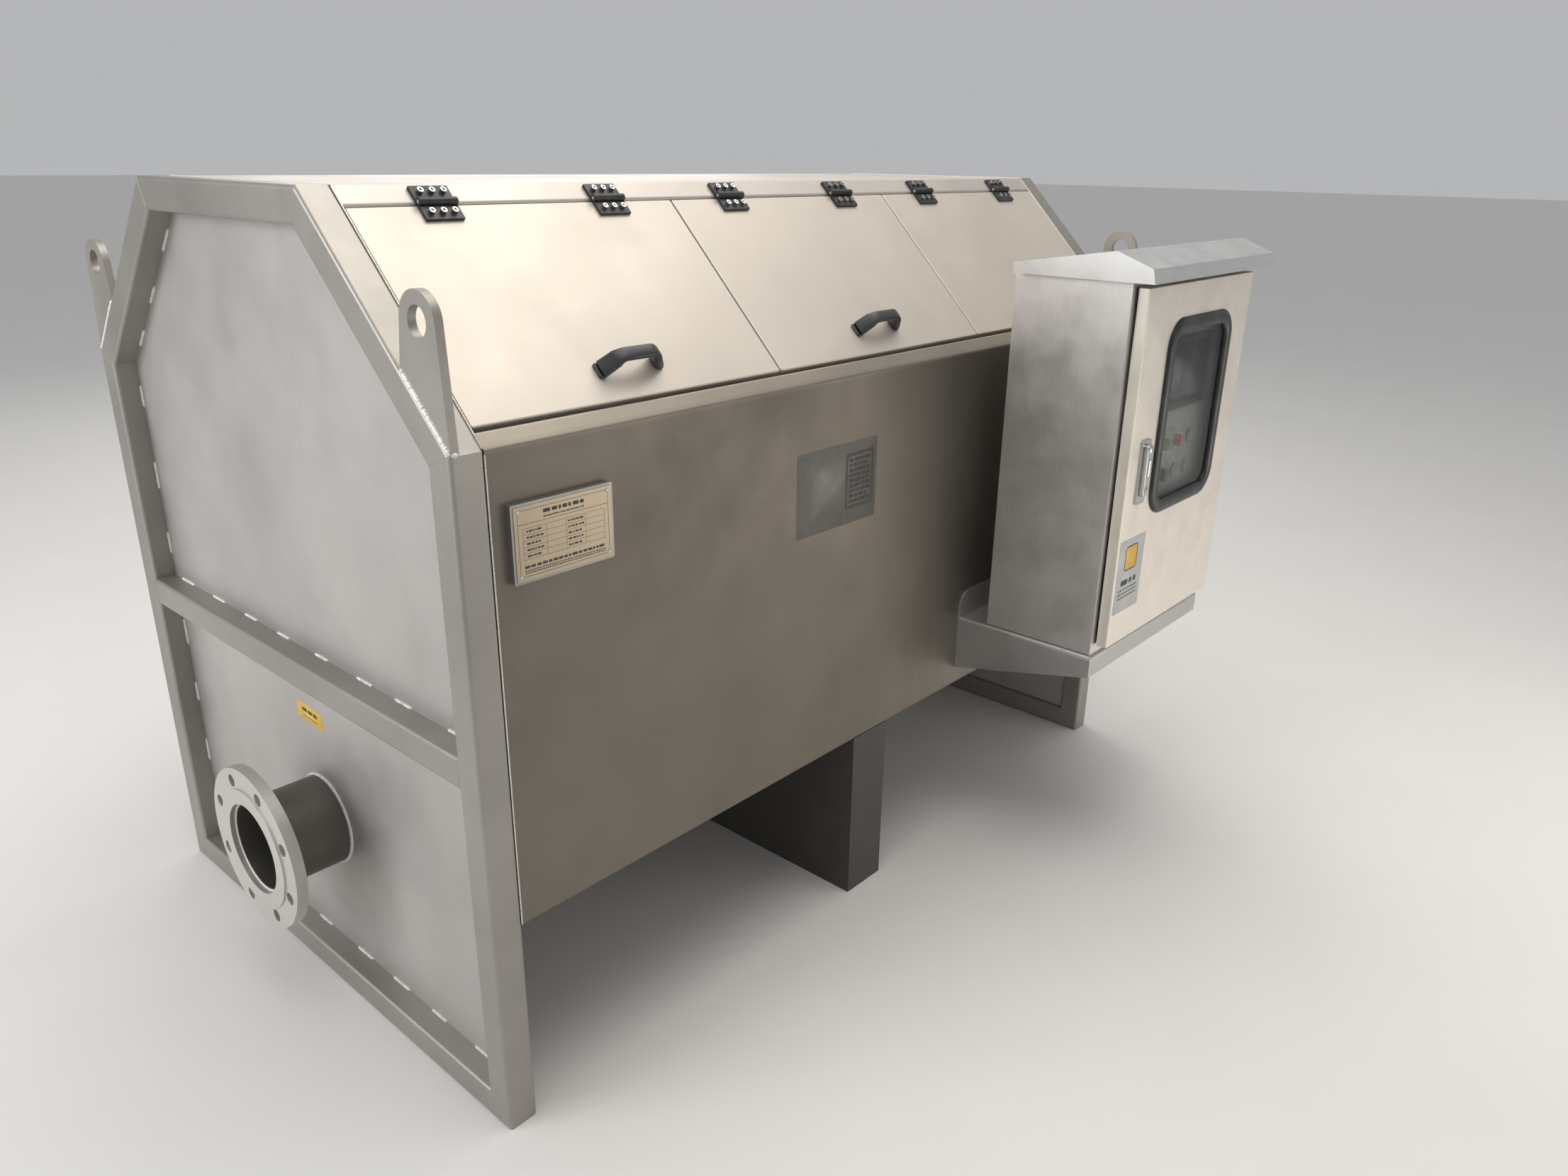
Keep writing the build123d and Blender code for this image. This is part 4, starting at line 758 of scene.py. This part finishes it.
def wall_film():
    """Clear protective film left on the front wall, with a plain ruled tag in its right half."""
    y = corners("front_wall")[0][1]
    film_at = np.array((-165 * MM, y, 865 * MM))
    sheet = flat_tag(film_at, X_AXIS, Z_AXIS, 215 * MM, 146 * MM, 3 * MM, TAG)
    tag_at = np.array((-105 * MM, y - TAG, 868 * MM))
    rim = [(0, 0), (0, 0.1 * MM), (6 * MM, 0.1 * MM), (6 * MM, 0)]
    marks = [looped(tag_at, X_AXIS, Z_AXIS, (78 * MM, 100 * MM), 5 * MM, rim, 4)]
    marks += dashes(tag_at, X_AXIS, Z_AXIS, 58 * MM, 9, 6 * MM, 9.2 * MM, 33)
    return sheet, marks


def door_label():
    """Plain tag on the door's lower left: a yellow square over rows of dashes."""
    low = corners("cabinet_door")[0]
    at = np.array((low[0] + 60 * MM, low[1], 655 * MM))
    front = at - Y_AXIS * TAG
    square_at, side = front + Z_AXIS * 34 * MM, 50 * MM
    sheet = flat_tag(at, X_AXIS, Z_AXIS, 106 * MM, 148 * MM, 2 * MM, TAG)
    square = flat_tag(square_at, X_AXIS, Z_AXIS, side, side, 8 * MM, 0.1 * MM)
    marks = dashes(front - Z_AXIS * 14 * MM, X_AXIS, Z_AXIS, 62 * MM, 1, 11 * MM, 12 * MM, 41, 1.0)
    marks += dashes(front - Z_AXIS * 36 * MM, X_AXIS, Z_AXIS, 80 * MM, 3, 3 * MM, 8 * MM, 42, 1.0)
    rim = [(0, 0.1 * MM), (0, 0.16 * MM), (2.5 * MM, 0.16 * MM), (2.5 * MM, 0.1 * MM)]
    marks.append(looped(square_at, X_AXIS, Z_AXIS, (side, side), 8 * MM, rim, 4))
    return sheet, square, marks


piece("nameplate_print", "housing", INK, nameplate_print())
piece("nameplate_screws", "housing", FINISHES["screw_steel"], nameplate_screws())

sheet, marks = end_label()
piece("end_tag", "housing", YELLOW, [sheet])
piece("end_tag_marks", "housing", INK, marks)

sheet, marks = wall_film()
piece("wall_film", "housing", FILM, [sheet])
piece("wall_film_marks", "housing", INK, marks)

sheet, square, marks = door_label()
piece("door_tag", "cabinet_door", PALE, [sheet])
piece("door_tag_square", "cabinet_door", YELLOW, [square])
piece("door_tag_marks", "cabinet_door", INK, marks)


# ---------------------------------------------------------------- cover handles
HANDLE_HEIGHT = 40 * MM
HANDLE_REACH = 51 * MM          # from a handle's middle to the foot of each leg
HANDLE_DEPTH = 6.2 * MM         # grip's middle under the handle's top
HANDLE_FOOT = 5.5 * MM          # legs start this high, inside their feet
HANDLE_BEND = 9 * MM            # length over which a leg turns into the grip
LEG_LEAN = 0.62                 # sideways run of a leg for each unit of rise


def handle_path(centre, height, count=12):
    """Foot, slanting leg, flat grip, slanting leg, foot.

    The runs are straight, and each bend between them is a quadratic Bezier curve with its control
    point at the corner.
    """
    grip = HANDLE_REACH - height * LEG_LEAN
    knots = [(-HANDLE_REACH, HANDLE_FOOT), (-grip, height), (grip, height), (HANDLE_REACH, HANDLE_FOOT)]
    route = [np.array(knots[0])]
    t = np.linspace(0, 1, count)[:, None]
    for a, b, c in zip(knots, knots[1:], knots[2:]):
        a, b, c = (np.array(p) for p in (a, b, c))
        start = b + HANDLE_BEND * ((a - b) / np.linalg.norm(a - b))
        stop = b + HANDLE_BEND * ((c - b) / np.linalg.norm(c - b))
        route += list((1 - t) ** 2 * start + 2 * t * (1 - t) * b + t ** 2 * stop)
    route.append(np.array(knots[-1]))
    flat = np.array(route)
    return centre + flat[:, :1] * X_AXIS + flat[:, 1:] * OUT_SLOPE


def handle_shapes(name):
    """Grip swept along its path, wider and deeper towards the feet, two feet, and screw pockets."""
    low, high = corners(f"{name}_cover_handle")
    centre = (low + high) / 2 - OUT_SLOPE * HANDLE_HEIGHT / 2
    path = handle_path(centre, HANDLE_HEIGHT - HANDLE_DEPTH)
    spread = np.abs(np.linspace(-1, 1, len(path)))
    half_width = (10.2 + 2.8 * spread ** 3) * MM
    half_depth = (5.4 + 2.0 * spread ** 4) * MM
    foot_layers = [(1.5 * MM, 0), (0, 1.2 * MM), (0, 4 * MM), (1.2 * MM, 5 * MM), (4.5 * MM, 5.2 * MM)]
    rim = [
        (0, 0), (0.2 * MM, 0.9 * MM), (1.2 * MM, 1.2 * MM), (2.0 * MM, 0.6 * MM),
        (2.2 * MM, -1.5 * MM), (1.0 * MM, -2.0 * MM),
    ]
    pocket_layers = [(0, -1.0 * MM), (0, 0), (1 * MM, 0.1 * MM)]
    screw_layers = [(0, 0), (0, 0.5 * MM), (1 * MM, 0.8 * MM)]
    shapes = [swept(path, UP_SLOPE, half_width, half_depth, 3.4)]
    pockets = []
    for sign in (-1, 1):
        foot = centre + sign * (HANDLE_REACH + 1.5 * MM) * X_AXIS
        shapes.append(layered(foot, X_AXIS, UP_SLOPE, (12.6 * MM, 25.6 * MM), 4 * MM, foot_layers, 5))
        slant = np.array((-sign * LEG_LEAN, 0, 0)) + OUT_SLOPE
        slant /= np.linalg.norm(slant)
        normal = np.cross(slant, UP_SLOPE) * -sign
        across = np.cross(UP_SLOPE, normal)
        at = centre + sign * HANDLE_REACH * X_AXIS + slant * 18 * MM + normal * 6.0 * MM
        pocket_at, screw_at = at + normal * 0.2 * MM, at + normal * 0.3 * MM
        shapes.append(looped(at, across, UP_SLOPE, (25 * MM, 19 * MM), 5 * MM, rim, 5))
        size = (21 * MM, 15 * MM)
        pockets.append(layered(pocket_at, across, UP_SLOPE, size, 3.5 * MM, pocket_layers, 5))
        pockets.append(disc(screw_at, normal, 3.4 * MM, screw_layers, 12))
    return shapes, pockets


# Painted shade: each screw pocket and its screw are near-black, standing for the shade inside the recess.
dark_pocket = moulded("dark_pocket", (0.006, 0.006, 0.007), 0.7)
for name in COVERS:
    shapes, pockets = handle_shapes(name)
    grip = piece(f"{name}_grip", f"{name}_cover", FINISHES["handle_plastic"], shapes, 50)
    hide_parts(f"{name}_cover_handle")
    piece(f"{name}_grip_pockets", f"{name}_cover", dark_pocket, pockets)


# ---------------------------------------------------------------- cabinet: seals, latch, controls
CROWN_HALF = 13.8 * MM          # half the width of the window seal's rolled face
WEB = (13.8 * MM, 27.8 * MM)    # from the seal's outer edge to its web and to its inner edge


def window_seal():
    """Rubber window seal: a rolled outer face, a web through the door and an inner lip.

    The rolled face is half a turn of a circle, flattened to stand as proud as the CAD's gasket.
    """
    low, high = corners("window_gasket")
    door_face = corners("cabinet_door")[0][1]
    at = np.array(((low[0] + high[0]) / 2, door_face, (low[2] + high[2]) / 2))
    size = (high[0] - low[0], high[2] - low[2])
    proud = door_face - low[1]
    lip = door_face - high[1]
    t = np.linspace(0, math.pi, 11)
    crown = [(14 * MM - CROWN_HALF * math.cos(a), proud * (0.25 + 0.75 * math.sin(a))) for a in t]
    web, inner = WEB
    back = [(inner, -4 * MM), (inner, lip * 0.99), (15 * MM, lip), (14.2 * MM, -3 * MM), (web, 0)]
    return looped(at, X_AXIS, Z_AXIS, size, 55 * MM, [(0.1 * MM, 0)] + crown + back, 14)


def door_seal():
    """Foam seal on the inside of the door, round the cabinet's mouth."""
    low, high = corners("cabinet_door")
    at = np.array(((low[0] + high[0]) / 2 - 6 * MM, high[1] - 2 * MM, (low[2] + high[2]) / 2))
    size = (high[0] - low[0] - 30 * MM, high[2] - low[2] - 8 * MM)
    width, side, depth = 10 * MM, 4 * MM, 5.2 * MM
    profile = [
        (0, 0), (0, -side), (2 * MM, -depth), (width - 2 * MM, -depth), (width, -side), (width, 0),
    ]
    return looped(at, X_AXIS, Z_AXIS, size, 10 * MM, profile, 6)


def latch_rim():
    """Raised rim of the latch plate: a low rounded step along its outline."""
    low, high = corners("latch_plate")
    at = np.array(((low[0] + high[0]) / 2, low[1], (low[2] + high[2]) / 2))
    size = (high[0] - low[0], high[2] - low[2])
    side, top, width = 0.2 * MM, 0.38 * MM, 3 * MM
    bevel_in, bevel_out = 0.3 * MM, 2.6 * MM
    rim = [(0, 0), (0, side), (bevel_in, top), (bevel_out, top), (2.9 * MM, side), (width, 0)]
    return looped(at, X_AXIS, Z_AXIS, size, 5 * MM, rim, 6)


def lever_details():
    """Domed pivot cap at the lever's top, finger ridge along it, and the key lock near its end."""
    front = corners("latch_lever")[0][1]
    joint = next(j for j in frame["joints"] if j["child"] == "latch_lever")
    at = np.array((joint["pos_m"][0], front, joint["pos_m"][2]))
    cap = [(0, 0), (0, 1.0 * MM), (1.2 * MM, 2.0 * MM), (5 * MM, 2.6 * MM), (7.4 * MM, 2.7 * MM)]
    shapes = [disc(at, -Y_AXIS, 8 * MM, cap, 28)]
    ridge = at - Z_AXIS * 34 * MM
    layers = [(0, -0.5 * MM), (0, 0.6 * MM), (1.6 * MM, 2.2 * MM), (4.4 * MM, 3.0 * MM)]
    shapes.append(layered(ridge, X_AXIS, Z_AXIS, (11 * MM, 38 * MM), 5.4 * MM, layers, 8))
    key = at - Z_AXIS * 74 * MM
    barrel = [
        (0, -0.5 * MM), (0, 1.2 * MM), (0.8 * MM, 1.8 * MM), (2.2 * MM, 1.8 * MM),
        (2.4 * MM, 1.2 * MM), (6 * MM, 1.2 * MM),
    ]
    shapes.append(disc(key, -Y_AXIS, 6.6 * MM, barrel, 24))
    slot_at = key - Y_AXIS * 1.2 * MM
    slot_layers = [(0, 0), (0, 0.2 * MM)]
    slot_cut = layered(slot_at, X_AXIS, Z_AXIS, (1.4 * MM, 6 * MM), 0.6 * MM, slot_layers, 4)
    return shapes, slot_cut


def control_details():
    """Display glass, legend tags over the buttons and the switch, and the buttons' turned collars."""
    low, high = corners("touch_screen")
    bezel = 26 * MM
    at = np.array(((low[0] + high[0]) / 2, low[1], (low[2] + high[2]) / 2))
    size = (high[0] - low[0] - bezel, high[2] - low[2] - bezel)
    glass_layers = [(0, 0), (0, 0.4 * MM), (0.6 * MM, 0.7 * MM)]
    glass = layered(at, X_AXIS, Z_AXIS, size, 2 * MM, glass_layers, 4)
    plate_sheet = 3 * MM
    face = corners("control_plate")[1][1] - plate_sheet
    outer, inner, height = 16.4 * MM, 13.5 * MM, 3 * MM
    profile = [(outer, 0), (outer, 2.2 * MM), (15.7 * MM, height), (13.7 * MM, height), (inner, 0)]
    tags = []
    collars = []
    for node in ("start_button", "stop_button", "mode_switch"):
        low, high = corners(node)
        spot = np.array(((low[0] + high[0]) / 2, face, (low[2] + high[2]) / 2))
        tags.append(flat_tag(spot + Z_AXIS * 24 * MM, X_AXIS, Z_AXIS, 27 * MM, 9 * MM, 1 * MM, 0.8 * MM))
        if node != "mode_switch":
            collars.append(turned_ring(spot, -Y_AXIS, profile, 40))
    return glass, tags, collars


seal = piece("window_seal", "cabinet_door", FINISHES["seal_rubber"], [window_seal()], 60)
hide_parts("window_gasket")
piece("door_foam_seal", "cabinet_door", FINISHES["seal_rubber"], [door_seal()])

chrome = FINISHES["latch_chrome"]
shapes, slot_cut = lever_details()
piece("latch_rim", "cabinet_door", chrome, [latch_rim()], 30)
piece("lever_details", "latch_lever", chrome, shapes, 35)
# The key slot is a thin black sheet: painted shade for the dark inside of the keyway.
piece("key_slot", "latch_lever", FINISHES["switch_black"], [slot_cut])

glass, tags, collars = control_details()
piece("display_glass", "housing", DISPLAY, [glass])
piece("legend_tags", "housing", CREAM, tags)
piece("button_collars", "housing", FINISHES["screw_steel"], collars)


# ---------------------------------------------------------------- drive end
DRIVE_HEIGHT = 403 * MM         # axis of the motor and the gearbox
MOTOR_LENGTH = 215 * MM
FIN_COUNT = 28
FIN_ROOT = 51 * MM              # from the motor's axis
COWL_RIBS = (14, 24, 34, 44)    # radii in mm


def motor_fins():
    """Cooling fins evenly round the motor, save under its terminal box, and the fan cowl's ribs."""
    low, high = corners("gear_motor")
    axis_x = low[0] + 62 * MM
    start, stop = high[1] - MOTOR_LENGTH + 16 * MM, high[1] - 44 * MM
    middle = np.array((axis_x, (start + stop) / 2, DRIVE_HEIGHT))
    size = (2.6 * MM, stop - start)
    layers = [(0, 0), (0.2 * MM, 4 * MM), (0.6 * MM, 5.4 * MM), (1.0 * MM, 5.6 * MM)]
    found = []
    for k in range(FIN_COUNT):
        angle = TURN * k / FIN_COUNT
        out = np.array((math.cos(angle), 0, math.sin(angle)))
        if out[2] <= 0.72:
            side = np.cross(Y_AXIS, out)
            found.append(layered(middle + out * FIN_ROOT, side, Y_AXIS, size, 1.2 * MM, layers, 3))
    end = np.array((axis_x, high[1], DRIVE_HEIGHT))
    for radius in COWL_RIBS:
        inner, outer = (radius - 1.6) * MM, (radius + 1.6) * MM
        profile = [(inner, -1 * MM), (inner, 1.2 * MM), (outer, 1.2 * MM), (outer, -1 * MM)]
        found.append(turned_ring(end, Y_AXIS, profile, 40))
    return found


def gearbox_screws():
    """Hexagon heads on a circle round the gearbox's end cover, and the cover's raised ring."""
    low = corners("gear_motor")[0]
    centre = np.array((low[0] + 110 * MM, low[1] + 58 * MM, DRIVE_HEIGHT))
    head = [(0, -0.5 * MM), (0, 4 * MM), (0.7 * MM, 5 * MM), (5.6 * MM, 5 * MM)]
    heads = []
    for k in range(6):
        angle = TURN * (k + 0.5) / 6
        at = centre + 44 * MM * np.array((0, math.cos(angle), math.sin(angle)))
        heads.append(disc(at, X_AXIS, 6.2 * MM, head, 6))
    outer, root = 56 * MM, -0.5 * MM
    ring = [(outer, root), (outer, 2 * MM), (54 * MM, 3 * MM), (20 * MM, 3 * MM), (19 * MM, root)]
    return heads, turned_ring(centre, X_AXIS, ring, 48)


motor_paint = FINISHES["motor_paint"]
heads, cover_ring = gearbox_screws()
piece("motor_fins", "housing", motor_paint, motor_fins(), 30)
piece("gearbox_screws", "housing", FINISHES["screw_steel"], heads, 30)
piece("gearbox_cover", "housing", motor_paint, [cover_ring], 30)


# ---------------------------------------------------------------- stage
FLOOR_REACH = 60.0


def pale_floor(reach):
    """One square of floor at height zero."""
    mesh = bpy.data.meshes.new("floor")
    points = [(-reach, -reach, 0), (reach, -reach, 0), (reach, reach, 0), (-reach, reach, 0)]
    mesh.from_pydata(points, [], [(0, 1, 2, 3)])
    mesh.materials.append(paving())
    obj = bpy.data.objects.new("floor", mesh)
    bpy.context.collection.objects.link(obj)


def area_light(name, place, target, size, power, colour):
    """Rectangular soft light at a place, turned towards a target and hidden from the camera."""
    data = bpy.data.lights.new(name, "AREA")
    data.shape = "RECTANGLE"
    data.size, data.size_y = size
    data.energy = power
    data.color = colour
    obj = bpy.data.objects.new(name, data)
    bpy.context.collection.objects.link(obj)
    obj.visible_camera = False
    obj.location = place
    obj.rotation_euler = (Vector(target) - Vector(place)).to_track_quat("-Z", "Y").to_euler()


pale_floor(FLOOR_REACH)
area_light("overhead", (0.3, -0.5, 3.9), (0.15, -0.25, 0.9), (4.4, 2.4), 98, (1.0, 0.95, 0.88))
area_light("cabinet_fill", (1.5, -2.6, 0.4), (0.5, -0.8, 0.75), (1.2, 0.9), 10, (1.0, 0.94, 0.86))
area_light("end_fill", (-5.2, 1.4, 2.4), (-0.9, 0, 0.7), (3.0, 2.4), 138, (0.98, 0.99, 1.0))
area_light("back_fill", (2.6, 4.2, 3.0), (0.2, 0, 0.7), (3.0, 2.4), 45, (1.0, 0.98, 0.95))

world = bpy.data.worlds.new("studio")
world.use_nodes = True
background = world.node_tree.nodes["Background"]
background.inputs["Color"].default_value = (0.92, 0.93, 0.95, 1)
background.inputs["Strength"].default_value = 0.5
bpy.context.scene.world = world
bpy.context.scene.view_settings.view_transform = "Standard"


# ---------------------------------------------------------------- camera
CAMERA_PLACE = (-1.640, -1.727, 1.395)
CAMERA_LENS = 26.19                                 # mm, on a 36 mm sensor
CAMERA_ANGLES = (48.705, -20.825, 0.8895)           # azimuth from +Y, elevation and roll in degrees

camera_data = bpy.data.cameras.new("camera")
camera_data.sensor_width = 36.0
camera_data.lens = CAMERA_LENS
camera = bpy.data.objects.new("camera", camera_data)
bpy.context.collection.objects.link(camera)
azimuth, elevation, roll = (math.radians(angle) for angle in CAMERA_ANGLES)
forward = Vector((
    math.sin(azimuth) * math.cos(elevation),
    math.cos(azimuth) * math.cos(elevation),
    math.sin(elevation),
))
right = forward.cross(Vector((0, 0, 1))).normalized()
above = right.cross(forward)
turned_right = math.cos(roll) * right + math.sin(roll) * above
turned_up = math.cos(roll) * above - math.sin(roll) * right
turned = Matrix((turned_right, turned_up, -forward)).transposed()
camera.matrix_world = Matrix.Translation(CAMERA_PLACE) @ turned.to_4x4()
bpy.context.scene.camera = camera
